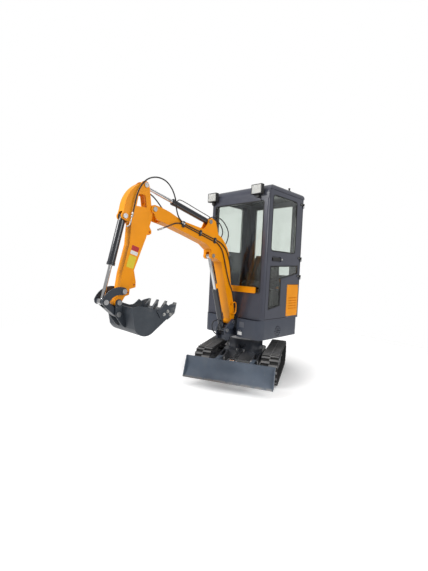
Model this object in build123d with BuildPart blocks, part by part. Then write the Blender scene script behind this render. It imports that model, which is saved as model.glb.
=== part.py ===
from build123d import *
import os
from math import cos, degrees, hypot, pi, sin

# Mini excavator of the one tonne class: rubber tracks, a narrow cab, a swinging boom and a blade.
# Millimetres, +Z up. The origin is where the slewing axis meets the ground. The upper structure
# faces -Y with its door on +X, and the undercarriage is parked turned about the slewing axis.

os.makedirs("parts", exist_ok=True)

# Running clearances
PIN_GAP = 0.3          # radial, between a pin and the bore it turns in
SIDE_GAP = 1.0         # between an eye and the ears beside it
SEAT_GAP = 0.3         # between pieces that sit against each other
DOOR_GAP = 5.0         # round the door

# Undercarriage
PARK_TURN = 26.0       # degrees that the tracks stand turned under the cab
TRACK_WIDTH = 180.0
TRACK_OUT = 466.0      # machine centre to the outer edge of a track
TRACK_FRONT = 634.0    # ahead of the slewing axis
TRACK_REAR = 541.0     # behind it
TRACK_HEIGHT = 320.0
BELT = 20.0            # rubber belt without its lugs
LUG = 18.0             # lug height
LUG_PITCH_COUNT = 44   # lugs round one edge of a belt
LUG_ROOT = 34.0
LUG_TIP = 24.0
LUG_LAP = 4.0          # how far a row of lugs reaches past the middle of the belt
ROLLER_RADIUS = 36.0
ROLLER_COUNT = 3
ROLLER_INSET = 190.0   # first and last roller, from the wheels at the ends
ROLLER_AXLE = 13.0
CARRIER_RADIUS = 24.0  # the small roller that holds up the upper run
WHEEL_HALF = 26.0      # half the width of idlers, sprockets and rollers
HUB_RADIUS = 34.0
IDLER_RIM = 16.0
IDLER_DISH = 12.0
SPROCKET_TEETH = 17
SPROCKET_GULLET = 13.0
MOTOR_RADIUS = 62.0
FRAME_PLATE = 8.0      # side plates of a track frame
FRAME_HALF = 48.0      # half the width of a track frame
FRAME_TOP = 205.0
FRAME_LOW = 62.0
FRAME_SHORT = 134.0    # a track frame's plates stop this far short of the sprocket's axis
CARBODY_LOW = 150.0
CARBODY_DECK = 262.0
CARBODY_TOP = 395.0
CARBODY_HALF = 235.0
LEG_TURN = 24.0        # degrees that each pair of legs is turned from straight across
LEG_WIDE = 110.0
SLEW_RADIUS = 205.0
SLEW_WALL = 40.0
SLEW_SPLIT = 428.0     # height where the two slewing rings meet

# Blade
BLADE_WIDTH = 937.0
BLADE_TOP = (852.0, 296.0)      # forward and height of the top edge
BLADE_FOOT = (949.0, 90.0)      # and of the cutting edge, parked raised
BLADE_PIVOT = (430.0, 200.0)
BLADE_ARM_OUT = 195.0           # middle of each push arm
BLADE_ARM_WIDE = 40.0
BLADE_PLATE = 9.0
BLADE_DISH = 34.0               # how far the face is hollowed
BLADE_BOSS = 34.0
BLADE_RAM_BASE = (285.0, 285.0)
BLADE_RAM_EYE = (690.0, 240.0)

# Upper structure and cab
BODY_HALF = 430.0      # half the width of cab and body
BODY_FLOOR = 455.0     # underside of the platform
BODY_FRONT = 335.0     # forward of the slewing axis
BODY_REAR = 520.0
SKIRT = 12.0           # wall of the lower body
PLATFORM = 20.0
BODY_CORNER = 100.0
COUNTERWEIGHT_AT = 395.0   # where the cast rear begins
VENT_BACK = 35.0       # round vent in the left side
VENT_UP = 537.0
VENT_RINGS = ((26.0, 6), (54.0, 12))
VENT_HOLE = 9.0
CAB_FRONT = 282.0
CAB_REAR = 505.0
CAB_FLOOR = 672.0
CAB_EAVES = 2165.0
ROOF_TOP = 2227.0
CAB_WALL = 38.0
CAB_CORNER = 24.0
FLOOR_PLATE = 12.0
DOOR_SKIN = 24.0       # door and side panels lie over the posts
DOOR_FRONT = 250.0
DOOR_REAR = 466.0
DOOR_FOOT = 690.0
DOOR_TOP = 2160.0
DOOR_STEP = 195.0      # behind this the door stops higher, over the side cover
DOOR_SILL = 1090.0
COVER_FOOT = 700.0
COVER_VENT_BACK = -345.0
COVER_VENT_UP = 857.0
COVER_VENT_PITCH = 32.0
SCREEN_HALF = 375.0
SCREEN_FOOT = 978.0
SCREEN_TOP = 2037.0
SCREEN_CORNER = 30.0
PANEL_FOOT = 700.0
PANEL_TOP = 955.0
BROW_FOOT = 2050.0
BROW_RADIUS = 125.0
ROOF_EDGE = 45.0
WINDOW_FRONT = 195.0
WINDOW_REAR = -345.0
WINDOW_FOOT = 1465.0
WINDOW_TOP = 2110.0
WINDOW_CORNER = 45.0
REAR_GLASS_HALF = 300.0
REAR_GLASS_FOOT = 1180.0
GLASS = 6.0
GLASS_DEEP = 12.0      # how far the panes lie behind the outer faces
SEAL = 14.0
SILL_HALF = 315.0
SILL_UP = 1014.0
SILL_TALL = 70.0
SILL_DEEP = 18.0
HOOD_FOOT = 700.0
HOOD_TOP = 1085.0
HOOD_HALF = 330.0
HOOD_PLATE = 12.0
LOWER_WINDOW = (       # the door's lower window, round its corners
    (185.0, 1300.0), (-425.0, 1328.0), (-430.0, 1222.0),
    (-55.0, 1155.0), (-55.0, 835.0), (195.0, 795.0),
)
HANDLE_SPOT = (65.0, 1380.0)
HANDLE_LONG = 200.0
HANDLE_TALL = 62.0
HANDLE_DEEP = 14.0
HINGE_OUT = 441.0
HINGE_BACK = 478.0
HINGE_HEIGHTS = (1180.0, 1405.0, 2080.0)
HINGE_TALL = 28.0
HINGE_RADIUS = 9.0
HINGE_PIN = 5.0
LEAF = 4.0
LAMP_SPOTS = ((-393.0, 2144.0), (293.0, 2157.0))
LAMP_WIDE = 140.0
LAMP_TALL = 110.0
LAMP_DEEP = 50.0
LAMP_AHEAD = 32.0
LENS = 10.0

# Inside the cab
BOX_FRONT = 40.0       # the box over the engine, behind the slewing axis
BOX_REAR = 462.0
BOX_HALF = 330.0
SEAT_FOOT = 1010.0
ENGINE_WIDE = 480.0
ENGINE_LONG = 340.0
ENGINE_TALL = 270.0
SEAT_FRONT = -60.0
SEAT_BACK = -380.0
SEAT_HALF = 230.0
STICK_OUT = 290.0
STICK_AT = 20.0
STICK_UP = 1000.0
TRAVEL_OUT = 60.0
TRAVEL_AT = 190.0

# Swing post, on the nose of the platform
SWING_AT = 385.0       # forward of the slewing axis
POST_ROOM = 120.0      # radius of the hollow in the body round the post
POST_SLACK = 3.0
POST_ROUND = 45.0
POST_WEB = 424.0       # where the post's upright web begins
POST_WALL = 14.0
POST_BOSS = 34.0
TONGUE = 36.0          # radius of the nose round the swing pin
TONGUE_LOW = 440.0
TONGUE_HIGH = 540.0
POST_PLATE = 22.0      # thickness of its top and bottom plates
POST_EAR_IN = 56.0     # inner face of its two side plates
POST_EAR = 20.0        # and their thickness

# Boom, arm and bucket: points are (forward, up) on the middle plane
BOOM_FOOT = (362.0, 622.0)
BOOM_TIP = (1554.0, 1758.0)
BOOM_HALF = 60.0
FOOT_HALF = 50.0
FORK_ROOM = 138.0
BOOM_RAM_BASE = (472.0, 533.0)
BOOM_RAM_EYE = (745.0, 1378.0)
ARM_HALF = 45.0
ARM_TOP = (1649.0, 1961.0)
ARM_RAM_BASE = (790.0, 1745.0)
BUCKET_RAM_BASE = (1854.0, 1655.0)
ROCKER_PIN = (1850.0, 1003.0)
LINK_PIN = (2020.0, 916.0)
BUCKET_PIVOT = (1887.0, 906.0)
BUCKET_EAR = (1888.0, 806.0)
ARM_BOSS = 33.0
HEAD_PLATE = 12.0
LUG_HALF = 16.0
ROCKER_IN = 64.0       # inner face of the rockers
ROCKER_BOSS = 28.0
LINK_BOSS = 25.0
LINK_ROOM = 60.0
BUCKET_HALF = 210.0
BUCKET_PLATE = 8.0
BUCKET_BOSS = 30.0
BUCKET_EAR_MID = 54.0
CUTTER = 10.0
TOOTH_COUNT = 4
TOOTH_HALF = 15.0

# Pins and rams
PIN = 15.0
PIN_HEAD = 9.0
PIN_BRIM = 7.0
EAR_PLATE = 12.0
RAM_HALF = 26.0        # half the width of a ram's eye
RAM_BOSS = 28.0
EYE_ROOM = 52.0
NECK = 45.0            # from a ram's base pin to its barrel
GLAND = 24.0
GLAND_RIM = 3.0


def side(x):
    """Upright plane at x: its first axis points forward, its second up."""
    return Plane(origin=(x, 0, 0), x_dir=(0, -1, 0), z_dir=(-1, 0, 0))


def parked(plane):
    """The same plane on the undercarriage, turned about the slewing axis."""
    return Plane(Location((0, 0, 0), (0, 0, PARK_TURN)) * plane.location)


def along(start, end, x=0.0):
    """Plane at start, square to the line from start to end, both (forward, up)."""
    way = (0, start[0] - end[0], end[1] - start[1])
    return Plane(origin=(x, -start[0], start[1]), x_dir=(1, 0, 0), z_dir=way)


def span(start, end):
    """Distance between two points."""
    return hypot(end[0] - start[0], end[1] - start[1])


def outline(*points):
    """Face bounded by straight runs between the points."""
    Polygon(*points, align=None)


def discs(*spots):
    """Round bosses at (point, radius) spots."""
    for point, radius in spots:
        with Locations(point):
            Circle(radius)


def bores(*spots):
    """Holes at (point, radius) spots."""
    for point, radius in spots:
        with Locations(point):
            Circle(radius, mode=Mode.SUBTRACT)


# Rubber tracks. The belt is a loop round the idler in front and the sprocket behind, with lugs
# standing on it in two staggered rows.
TRACK_MID = TRACK_OUT - TRACK_WIDTH / 2
LOOP_RADIUS = TRACK_HEIGHT / 2
BELT_OUTER = LOOP_RADIUS - LUG
BELT_INNER = BELT_OUTER - BELT
IDLER_AT = TRACK_FRONT - LOOP_RADIUS
SPROCKET_AT = LOOP_RADIUS - TRACK_REAR
WHEELBASE = IDLER_AT - SPROCKET_AT
LOOP_MIDDLE = (IDLER_AT + SPROCKET_AT) / 2


def on_loop(distance):
    """Point of the belt's outer face and the way it faces, in degrees, at a distance round it."""
    bend = pi * BELT_OUTER
    distance = distance % (2 * WHEELBASE + 2 * bend)
    if distance < WHEELBASE:
        return (SPROCKET_AT + distance, LOOP_RADIUS + BELT_OUTER), 90
    distance -= WHEELBASE
    if distance < bend:
        turn = pi / 2 - distance / BELT_OUTER
        return (IDLER_AT + BELT_OUTER * cos(turn), LOOP_RADIUS + BELT_OUTER * sin(turn)), degrees(turn)
    distance -= bend
    if distance < WHEELBASE:
        return (IDLER_AT - distance, LOOP_RADIUS - BELT_OUTER), -90
    turn = -pi / 2 - (distance - WHEELBASE) / BELT_OUTER
    return (SPROCKET_AT + BELT_OUTER * cos(turn), LOOP_RADIUS + BELT_OUTER * sin(turn)), degrees(turn)


def lug_row(phase):
    """Side view of the belt's lugs, each a block that narrows to its tip."""
    pitch = (2 * WHEELBASE + 2 * pi * BELT_OUTER) / LUG_PITCH_COUNT
    for number in range(LUG_PITCH_COUNT):
        spot, facing = on_loop((number + phase) * pitch)
        with Locations(Location((*spot, 0), (0, 0, facing))):
            outline((-4, -LUG_ROOT / 2), (LUG, -LUG_TIP / 2), (LUG, LUG_TIP / 2), (-4, LUG_ROOT / 2))


def track(hand, label):
    """One belt with its lugs; hand is 1 on the left side of the machine, -1 on the right."""
    with BuildPart() as belt:
        with BuildSketch(parked(side(hand * TRACK_MID))):
            with Locations((LOOP_MIDDLE, LOOP_RADIUS)):
                SlotCenterToCenter(WHEELBASE, 2 * BELT_OUTER)
                SlotCenterToCenter(WHEELBASE, 2 * BELT_INNER, mode=Mode.SUBTRACT)
        extrude(amount=TRACK_WIDTH / 2, both=True)
        for row, phase in ((1, 0), (-1, 0.5)):
            with BuildSketch(parked(side(hand * TRACK_MID + row * (TRACK_WIDTH - 2 * LUG_LAP) / 4))):
                lug_row(phase)
            extrude(amount=(TRACK_WIDTH + 2 * LUG_LAP) / 4, both=True)
    belt.part.label = label
    export_step(belt.part, f"parts/{label}.step")


track(1, "track_left")
track(-1, "track_right")


# Idlers in front, sprockets behind and the rollers between them, all inside the belts.
WHEEL_RADIUS = BELT_INNER - SEAT_GAP
HUB_HALF = FRAME_HALF - FRAME_PLATE - SEAT_GAP
IDLER_SPOT = (IDLER_AT, LOOP_RADIUS)
SPROCKET_SPOT = (SPROCKET_AT, LOOP_RADIUS)
FIRST_ROLLER = SPROCKET_AT + ROLLER_INSET
ROLLER_STEP = (WHEELBASE - 2 * ROLLER_INSET) / (ROLLER_COUNT - 1)
ROLLER_UP = LOOP_RADIUS - WHEEL_RADIUS + ROLLER_RADIUS
CARRIER_SPOT = (LOOP_MIDDLE, LOOP_RADIUS + WHEEL_RADIUS - CARRIER_RADIUS)
ROLLER_SPOTS = [(FIRST_ROLLER + number * ROLLER_STEP, ROLLER_UP) for number in range(ROLLER_COUNT)]

with BuildPart() as track_wheels:
    for hand in (1, -1):
        middle = parked(side(hand * TRACK_MID))
        with BuildSketch(middle):
            discs((IDLER_SPOT, WHEEL_RADIUS))
        extrude(amount=WHEEL_HALF, both=True)
        for face in (1, -1):
            with BuildSketch(middle.offset(face * WHEEL_HALF)):
                discs((IDLER_SPOT, WHEEL_RADIUS - IDLER_RIM))
                bores((IDLER_SPOT, HUB_RADIUS))
            extrude(amount=-face * IDLER_DISH, mode=Mode.SUBTRACT)
        with BuildSketch(middle):
            discs((SPROCKET_SPOT, WHEEL_RADIUS))
            with Locations(SPROCKET_SPOT):
                with PolarLocations(WHEEL_RADIUS, SPROCKET_TEETH):
                    Circle(SPROCKET_GULLET, mode=Mode.SUBTRACT)
        extrude(amount=WHEEL_HALF, both=True)
        with BuildSketch(middle):
            discs((IDLER_SPOT, HUB_RADIUS), (SPROCKET_SPOT, MOTOR_RADIUS), (CARRIER_SPOT, ROLLER_AXLE))
            discs(*((spot, ROLLER_AXLE) for spot in ROLLER_SPOTS))
        extrude(amount=HUB_HALF, both=True)
        with BuildSketch(middle):
            discs((CARRIER_SPOT, CARRIER_RADIUS), *((spot, ROLLER_RADIUS) for spot in ROLLER_SPOTS))
        extrude(amount=WHEEL_HALF, both=True)
track_wheels.part.label = "track_wheels"
export_step(track_wheels.part, "parts/track_wheels.step")

# Track frames and carbody, one weldment: a channel inside each belt, a box with a round top for the
# slewing ring, a cross of legs, and ears in front for the blade and its ram.
ARM_EAR = BLADE_ARM_WIDE / 2 + SIDE_GAP + EAR_PLATE / 2
RAM_EAR = RAM_HALF + SIDE_GAP + EAR_PLATE / 2

with BuildPart() as track_frame:
    for hand in (1, -1):
        for edge in (1, -1):
            with BuildSketch(parked(side(hand * TRACK_MID + edge * (FRAME_HALF - FRAME_PLATE / 2)))):
                outline(
                    (IDLER_AT + 40, LOOP_RADIUS - 30), (IDLER_AT + 40, LOOP_RADIUS + 20),
                    (IDLER_AT - 40, FRAME_TOP), (SPROCKET_AT + FRAME_SHORT, FRAME_TOP),
                    (SPROCKET_AT + FRAME_SHORT, LOOP_RADIUS - 40), (FIRST_ROLLER - 30, FRAME_LOW),
                    (IDLER_AT - ROLLER_INSET + 40, FRAME_LOW),
                )
                outline(
                    (LOOP_MIDDLE - 45, FRAME_TOP), (LOOP_MIDDLE + 45, FRAME_TOP),
                    (LOOP_MIDDLE + 20, CARRIER_SPOT[1] + 8), (LOOP_MIDDLE - 20, CARRIER_SPOT[1] + 8),
                )
            extrude(amount=FRAME_PLATE / 2, both=True)
        with BuildSketch(parked(side(hand * TRACK_MID))):
            outline(
                (IDLER_AT - WHEEL_RADIUS - 12, FRAME_TOP), (SPROCKET_AT + FRAME_SHORT, FRAME_TOP),
                (SPROCKET_AT + FRAME_SHORT, FRAME_TOP - FRAME_PLATE),
                (IDLER_AT - WHEEL_RADIUS - 12, FRAME_TOP - FRAME_PLATE),
            )
        extrude(amount=FRAME_HALF, both=True)
        with BuildSketch(parked(side(hand * (TRACK_MID - FRAME_HALF + FRAME_PLATE / 2)))):
            outline(
                (SPROCKET_AT + FRAME_SHORT, FRAME_TOP), (SPROCKET_AT, LOOP_RADIUS + MOTOR_RADIUS),
                (SPROCKET_AT, LOOP_RADIUS - MOTOR_RADIUS), (SPROCKET_AT + FRAME_SHORT, LOOP_RADIUS - 40),
            )
            discs((SPROCKET_SPOT, MOTOR_RADIUS + 12))
        extrude(amount=FRAME_PLATE / 2, both=True)
    with BuildSketch(parked(Plane.XY.offset(CARBODY_LOW))):
        RectangleRounded(2 * CARBODY_HALF, 2 * CARBODY_HALF, 60)
    extrude(amount=CARBODY_DECK - CARBODY_LOW)
    with BuildSketch(parked(Plane.XY.offset(CARBODY_LOW))):
        Circle(SLEW_RADIUS + 8)
    extrude(amount=CARBODY_TOP - CARBODY_LOW)
    with BuildSketch(parked(Plane.XY.offset(CARBODY_LOW))):
        for turn in (LEG_TURN, -LEG_TURN):
            with Locations(Location((0, 0, 0), (0, 0, turn))):
                Rectangle(3 * TRACK_MID, LEG_WIDE)
        Rectangle(2 * (TRACK_MID - FRAME_HALF + 1), 4 * TRACK_MID, mode=Mode.INTERSECT)
    extrude(amount=FRAME_TOP - CARBODY_LOW)
    for out in (ARM_EAR, -ARM_EAR):
        for hand in (1, -1):
            with BuildSketch(parked(side(hand * BLADE_ARM_OUT + out))):
                outline(
                    (CARBODY_HALF - 60, CARBODY_LOW), (BLADE_PIVOT[0], BLADE_PIVOT[1] - BLADE_BOSS),
                    (BLADE_PIVOT[0], BLADE_PIVOT[1] + BLADE_BOSS), (CARBODY_HALF - 60, CARBODY_DECK),
                )
                discs((BLADE_PIVOT, BLADE_BOSS))
                bores((BLADE_PIVOT, PIN + PIN_GAP))
            extrude(amount=EAR_PLATE / 2, both=True)
    for out in (RAM_EAR, -RAM_EAR):
        with BuildSketch(parked(side(out))):
            outline(
                (CARBODY_HALF - 50, CARBODY_DECK - 40), (BLADE_RAM_BASE[0], BLADE_RAM_BASE[1] - RAM_BOSS),
                (BLADE_RAM_BASE[0], BLADE_RAM_BASE[1] + RAM_BOSS), (SLEW_RADIUS, BLADE_RAM_BASE[1] + 50),
                (SLEW_RADIUS - 40, CARBODY_DECK),
            )
            discs((BLADE_RAM_BASE, RAM_BOSS))
            bores((BLADE_RAM_BASE, PIN + PIN_GAP))
        extrude(amount=EAR_PLATE / 2, both=True)
track_frame.part.label = "track_frame"
export_step(track_frame.part, "parts/track_frame.step")


def across(spot, near, far, turn=0.0):
    """Place of a bar across the machine at a (forward, up) spot, and its length."""
    place = Location((0, 0, 0), (0, 0, turn)) * Location(((near + far) / 2, -spot[0], spot[1]), (0, 90, 0))
    return place, abs(far - near)


def rod_across(spot, near, far, radius, turn=0.0, mode=Mode.ADD):
    """Round bar across the machine from one sideways place to another."""
    place, length = across(spot, near, far, turn)
    with Locations(place):
        Cylinder(radius, length, mode=mode)


def pin(spot, half, turn=0.0, middle=0.0):
    """Pin through a pair of ears that end half away from the middle, with a head at each end."""
    rod_across(spot, middle - half - PIN_HEAD, middle + half + PIN_HEAD, PIN, turn)
    for end in (1, -1):
        near = middle + end * (half + SEAT_GAP)
        rod_across(spot, near, near + end * PIN_HEAD, PIN + PIN_BRIM, turn)


def pin_stubs(spot, near, far, turn=0.0):
    """Pin left out between its ears, where a ram's rod eye stands."""
    for end in (1, -1):
        rod_across(spot, end * near, end * (far + PIN_HEAD), PIN, turn)
        rod_across(spot, end * (far + SEAT_GAP), end * (far + SEAT_GAP + PIN_HEAD), PIN + PIN_BRIM, turn)


with BuildPart() as frame_pins:
    for hand in (1, -1):
        pin(BLADE_PIVOT, ARM_EAR + EAR_PLATE / 2, PARK_TURN, hand * BLADE_ARM_OUT)
    pin(BLADE_RAM_BASE, RAM_EAR + EAR_PLATE / 2, PARK_TURN)
frame_pins.part.label = "frame_pins"
export_step(frame_pins.part, "parts/frame_pins.step")

# Slewing ring: a fixed race on the carbody and a turning race under the platform.
with BuildPart() as slew_race_lower:
    with BuildSketch(Plane.XY.offset(CARBODY_TOP)):
        Circle(SLEW_RADIUS)
        Circle(SLEW_RADIUS - SLEW_WALL, mode=Mode.SUBTRACT)
    extrude(amount=SLEW_SPLIT - CARBODY_TOP)
slew_race_lower.part.label = "slew_race_lower"
export_step(slew_race_lower.part, "parts/slew_race_lower.step")

with BuildPart() as slew_race_upper:
    with BuildSketch(Plane.XY.offset(SLEW_SPLIT + SEAT_GAP)):
        Circle(SLEW_RADIUS)
        Circle(SLEW_RADIUS - SLEW_WALL, mode=Mode.SUBTRACT)
    extrude(amount=BODY_FLOOR - SLEW_SPLIT - SEAT_GAP)
slew_race_upper.part.label = "slew_race_upper"
export_step(slew_race_upper.part, "parts/slew_race_upper.step")

# Blade: a curved plate with a cheek at each end, on two push arms joined by a cross tube.
BLADE_MIDDLE = ((BLADE_TOP[0] + BLADE_FOOT[0]) / 2 - BLADE_DISH, (BLADE_TOP[1] + BLADE_FOOT[1]) / 2)

with BuildPart() as blade:
    for hand in (1, -1):
        with BuildSketch(parked(side(hand * BLADE_ARM_OUT))):
            outline(
                (BLADE_PIVOT[0], BLADE_PIVOT[1] - BLADE_BOSS + 4), (BLADE_FOOT[0], BLADE_FOOT[1] + 30),
                (BLADE_FOOT[0], BLADE_TOP[1] - 40), (BLADE_PIVOT[0], BLADE_PIVOT[1] + BLADE_BOSS - 4),
            )
            discs((BLADE_PIVOT, BLADE_BOSS - 4))
            bores((BLADE_PIVOT, PIN + PIN_GAP))
        extrude(amount=BLADE_ARM_WIDE / 2, both=True)
        with BuildSketch(parked(side(hand * RAM_EAR))):
            outline(
                (BLADE_RAM_EYE[0], BLADE_RAM_EYE[1] - RAM_BOSS), (BLADE_FOOT[0], BLADE_FOOT[1] + 60),
                (BLADE_FOOT[0], BLADE_TOP[1] - 15), (BLADE_RAM_EYE[0], BLADE_RAM_EYE[1] + RAM_BOSS),
            )
            discs((BLADE_RAM_EYE, RAM_BOSS))
            bores((BLADE_RAM_EYE, PIN + PIN_GAP))
        extrude(amount=EAR_PLATE / 2, both=True)
        with BuildSketch(parked(side(hand * (BLADE_WIDTH - BLADE_PLATE) / 2))):
            outline(
                (BLADE_TOP[0] - 40, BLADE_TOP[1] - 6), (BLADE_TOP[0] + 6, BLADE_TOP[1]),
                BLADE_FOOT, (BLADE_FOOT[0] - 70, BLADE_FOOT[1] + 8),
            )
        extrude(amount=BLADE_PLATE / 2, both=True)
    with BuildSketch(parked(side(0))):
        with Locations((BLADE_MIDDLE[0] - 60, BLADE_PIVOT[1] - 12)):
            RectangleRounded(70, 70, 12)
    extrude(amount=BLADE_ARM_OUT, both=True)
    with BuildSketch(parked(side(0))):
        with BuildLine():
            ThreePointArc(BLADE_TOP, BLADE_MIDDLE, BLADE_FOOT)
            ahead = BLADE_FOOT[0] + 60
            Polyline(BLADE_FOOT, (ahead, BLADE_FOOT[1]), (ahead, BLADE_TOP[1]), BLADE_TOP)
        make_face()
    extrude(amount=BLADE_WIDTH / 2 - BLADE_PLATE, both=True, mode=Mode.SUBTRACT)
    with BuildSketch(parked(side(0))):
        with BuildLine():
            ThreePointArc(BLADE_TOP, BLADE_MIDDLE, BLADE_FOOT)
            Line(BLADE_FOOT, (BLADE_FOOT[0] - BLADE_PLATE, BLADE_FOOT[1]))
            ThreePointArc(
                (BLADE_FOOT[0] - BLADE_PLATE, BLADE_FOOT[1]),
                (BLADE_MIDDLE[0] - BLADE_PLATE, BLADE_MIDDLE[1]),
                (BLADE_TOP[0] - BLADE_PLATE, BLADE_TOP[1]),
            )
            Line((BLADE_TOP[0] - BLADE_PLATE, BLADE_TOP[1]), BLADE_TOP)
        make_face()
    extrude(amount=BLADE_WIDTH / 2, both=True)
blade.part.label = "blade"
export_step(blade.part, "parts/blade.step")

with BuildPart() as blade_pins:
    pin_stubs(BLADE_RAM_EYE, RAM_HALF + 2 * SIDE_GAP, RAM_EAR + EAR_PLATE / 2, PARK_TURN)
blade_pins.part.label = "blade_pins"
export_step(blade_pins.part, "parts/blade_pins.step")


def ram(label, base, eye, tube, rod, reach, start, stroke, half, turned=lambda plane: plane):
    """Hydraulic ram from base to eye: a barrel that ends in a gland at reach, and a rod that starts
    inside it at start and can slide in by stroke. Half is half the width of the barrel's eye."""
    line = turned(along(base, eye))
    with BuildPart() as barrel:
        with BuildSketch(turned(side(0))):
            discs((base, RAM_BOSS))
        extrude(amount=half, both=True)
        with BuildSketch(line):
            Circle(RAM_HALF)
        extrude(amount=NECK)
        with BuildSketch(line.offset(NECK)):
            Circle(tube)
        extrude(amount=reach - NECK)
        with BuildSketch(line.offset(reach - GLAND)):
            Circle(tube + GLAND_RIM)
        extrude(amount=GLAND)
        with BuildSketch(line.offset(start - stroke)):
            Circle(rod + PIN_GAP)
        extrude(amount=reach - start + stroke, mode=Mode.SUBTRACT)
        with BuildSketch(turned(side(0))):
            discs((base, PIN + PIN_GAP))
        extrude(amount=half, both=True, mode=Mode.SUBTRACT)
    barrel.part.label = f"{label}_barrel"
    export_step(barrel.part, f"parts/{label}_barrel.step")
    with BuildPart() as piston:
        with BuildSketch(line.offset(start)):
            Circle(rod)
        extrude(amount=span(base, eye) - start)
        with BuildSketch(turned(side(0))):
            discs((eye, RAM_BOSS))
        extrude(amount=RAM_HALF, both=True)
    piston.part.label = f"{label}_rod"
    export_step(piston.part, f"parts/{label}_rod.step")


ram("blade_ram", BLADE_RAM_BASE, BLADE_RAM_EYE, 26, 14, 250, 130, 30, RAM_HALF, parked)

# Lower body: the platform with the nose that carries the swing post, the skirt round it with its
# hollow for the post, and the cast counterweight that closes it behind.


def body_plan(inset):
    """Plan of the lower body with the hollow round the swing post."""
    with Locations((0, (BODY_REAR - BODY_FRONT) / 2)):
        RectangleRounded(2 * (BODY_HALF - inset), BODY_REAR + BODY_FRONT - 2 * inset, BODY_CORNER - inset)
    with Locations((0, -SWING_AT)):
        Circle(POST_ROOM + inset, mode=Mode.SUBTRACT)


def nose(room):
    """Straight neck from the platform's middle to the swing axis, wider by room on each side."""
    with Locations((0, -(SWING_AT + SLEW_RADIUS) / 2)):
        Rectangle(2 * (TONGUE + room), SWING_AT - SLEW_RADIUS + 2 * room)


with BuildPart() as platform:
    with BuildSketch(Plane.XY.offset(BODY_FLOOR)):
        body_plan(SKIRT + SEAT_GAP)
    extrude(amount=PLATFORM)
    with BuildSketch(Plane.XY.offset(TONGUE_LOW)):
        nose(0)
        with Locations((0, -SWING_AT)):
            Circle(TONGUE)
            Circle(PIN + PIN_GAP, mode=Mode.SUBTRACT)
    extrude(amount=TONGUE_HIGH - TONGUE_LOW)
    with BuildSketch(Plane.XY.offset(TONGUE_LOW)):
        Circle(SLEW_RADIUS + SEAT_GAP)
    extrude(amount=BODY_FLOOR - TONGUE_LOW, mode=Mode.SUBTRACT)
platform.part.label = "platform"
export_step(platform.part, "parts/platform.step")

BODY_LID = CAB_FLOOR - SEAT_GAP

with BuildPart() as lower_body:
    with BuildSketch(Plane.XY.offset(BODY_FLOOR)):
        body_plan(0)
    extrude(amount=BODY_LID - BODY_FLOOR)
    with BuildSketch(Plane.XY.offset(BODY_FLOOR)):
        body_plan(SKIRT)
    extrude(amount=BODY_LID - BODY_FLOOR, mode=Mode.SUBTRACT)
    with BuildSketch(Plane.XY.offset(BODY_FLOOR)):
        nose(SEAT_GAP)
    extrude(amount=TONGUE_HIGH - BODY_FLOOR + SEAT_GAP, mode=Mode.SUBTRACT)
    with BuildSketch(Plane.XY.offset(BODY_FLOOR)):
        with Locations((0, COUNTERWEIGHT_AT + BODY_REAR / 2)):
            Rectangle(2 * BODY_REAR, BODY_REAR)
    extrude(amount=BODY_LID - BODY_FLOOR, mode=Mode.SUBTRACT)
    with BuildSketch(Plane.YZ.offset(BODY_HALF)):
        with Locations((VENT_BACK, VENT_UP)):
            Circle(VENT_HOLE)
            for ring, count in VENT_RINGS:
                with PolarLocations(ring, count):
                    Circle(VENT_HOLE)
    extrude(amount=-SKIRT, mode=Mode.SUBTRACT)
lower_body.part.label = "lower_body"
export_step(lower_body.part, "parts/lower_body.step")

with BuildPart() as counterweight:
    with BuildSketch(Plane.XY.offset(BODY_FLOOR)):
        body_plan(0)
    extrude(amount=BODY_LID - BODY_FLOOR)
    with BuildSketch(Plane.XY.offset(BODY_FLOOR)):
        body_plan(SKIRT)
    extrude(amount=PLATFORM + SEAT_GAP, mode=Mode.SUBTRACT)
    with BuildSketch(Plane.XY.offset(BODY_FLOOR)):
        with Locations((0, COUNTERWEIGHT_AT + SEAT_GAP - BODY_REAR)):
            Rectangle(3 * BODY_HALF, 2 * BODY_REAR)
    extrude(amount=BODY_LID - BODY_FLOOR, mode=Mode.SUBTRACT)
counterweight.part.label = "counterweight"
export_step(counterweight.part, "parts/counterweight.step")

# Cab. Its frame is a shell with straight walls; the door, the right panel and the orange side
# covers lie in recesses of its sides, flush with the corner posts.
FRAME_SIDE = BODY_HALF - DOOR_SKIN - DOOR_GAP
COVER_THICK = DOOR_SKIN + DOOR_GAP - SEAT_GAP
WALL_TOP = CAB_EAVES - SEAT_GAP
CAB_DEPTH = CAB_FRONT + CAB_REAR
BROW_WALL = CAB_FRONT - DOOR_FRONT - DOOR_GAP


def cab_block(half, front, rear, corner):
    """Plan of the cab between a front and a rear, with rounded corners."""
    with Locations((0, (rear - front) / 2)):
        RectangleRounded(2 * half, front + rear, corner)


def door_shape(room):
    """Side view of the door, wider by room all round: its rear is cut up over the side cover."""
    outline(
        (DOOR_FRONT + room, DOOR_FOOT - room), (DOOR_FRONT + room, DOOR_TOP + room),
        (-DOOR_REAR - room, DOOR_TOP + room), (-DOOR_REAR - room, DOOR_SILL - room),
        (-DOOR_STEP - room, DOOR_SILL - room), (-DOOR_STEP - room, DOOR_FOOT - room),
    )


def cover_shape(room):
    """Side view of the side cover under the rear of the door."""
    outline(
        (-DOOR_STEP - DOOR_GAP, COVER_FOOT - room), (-DOOR_STEP - DOOR_GAP, DOOR_SILL - DOOR_GAP),
        (-DOOR_REAR - room, DOOR_SILL - DOOR_GAP), (-DOOR_REAR - room, COVER_FOOT - room),
    )


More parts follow.
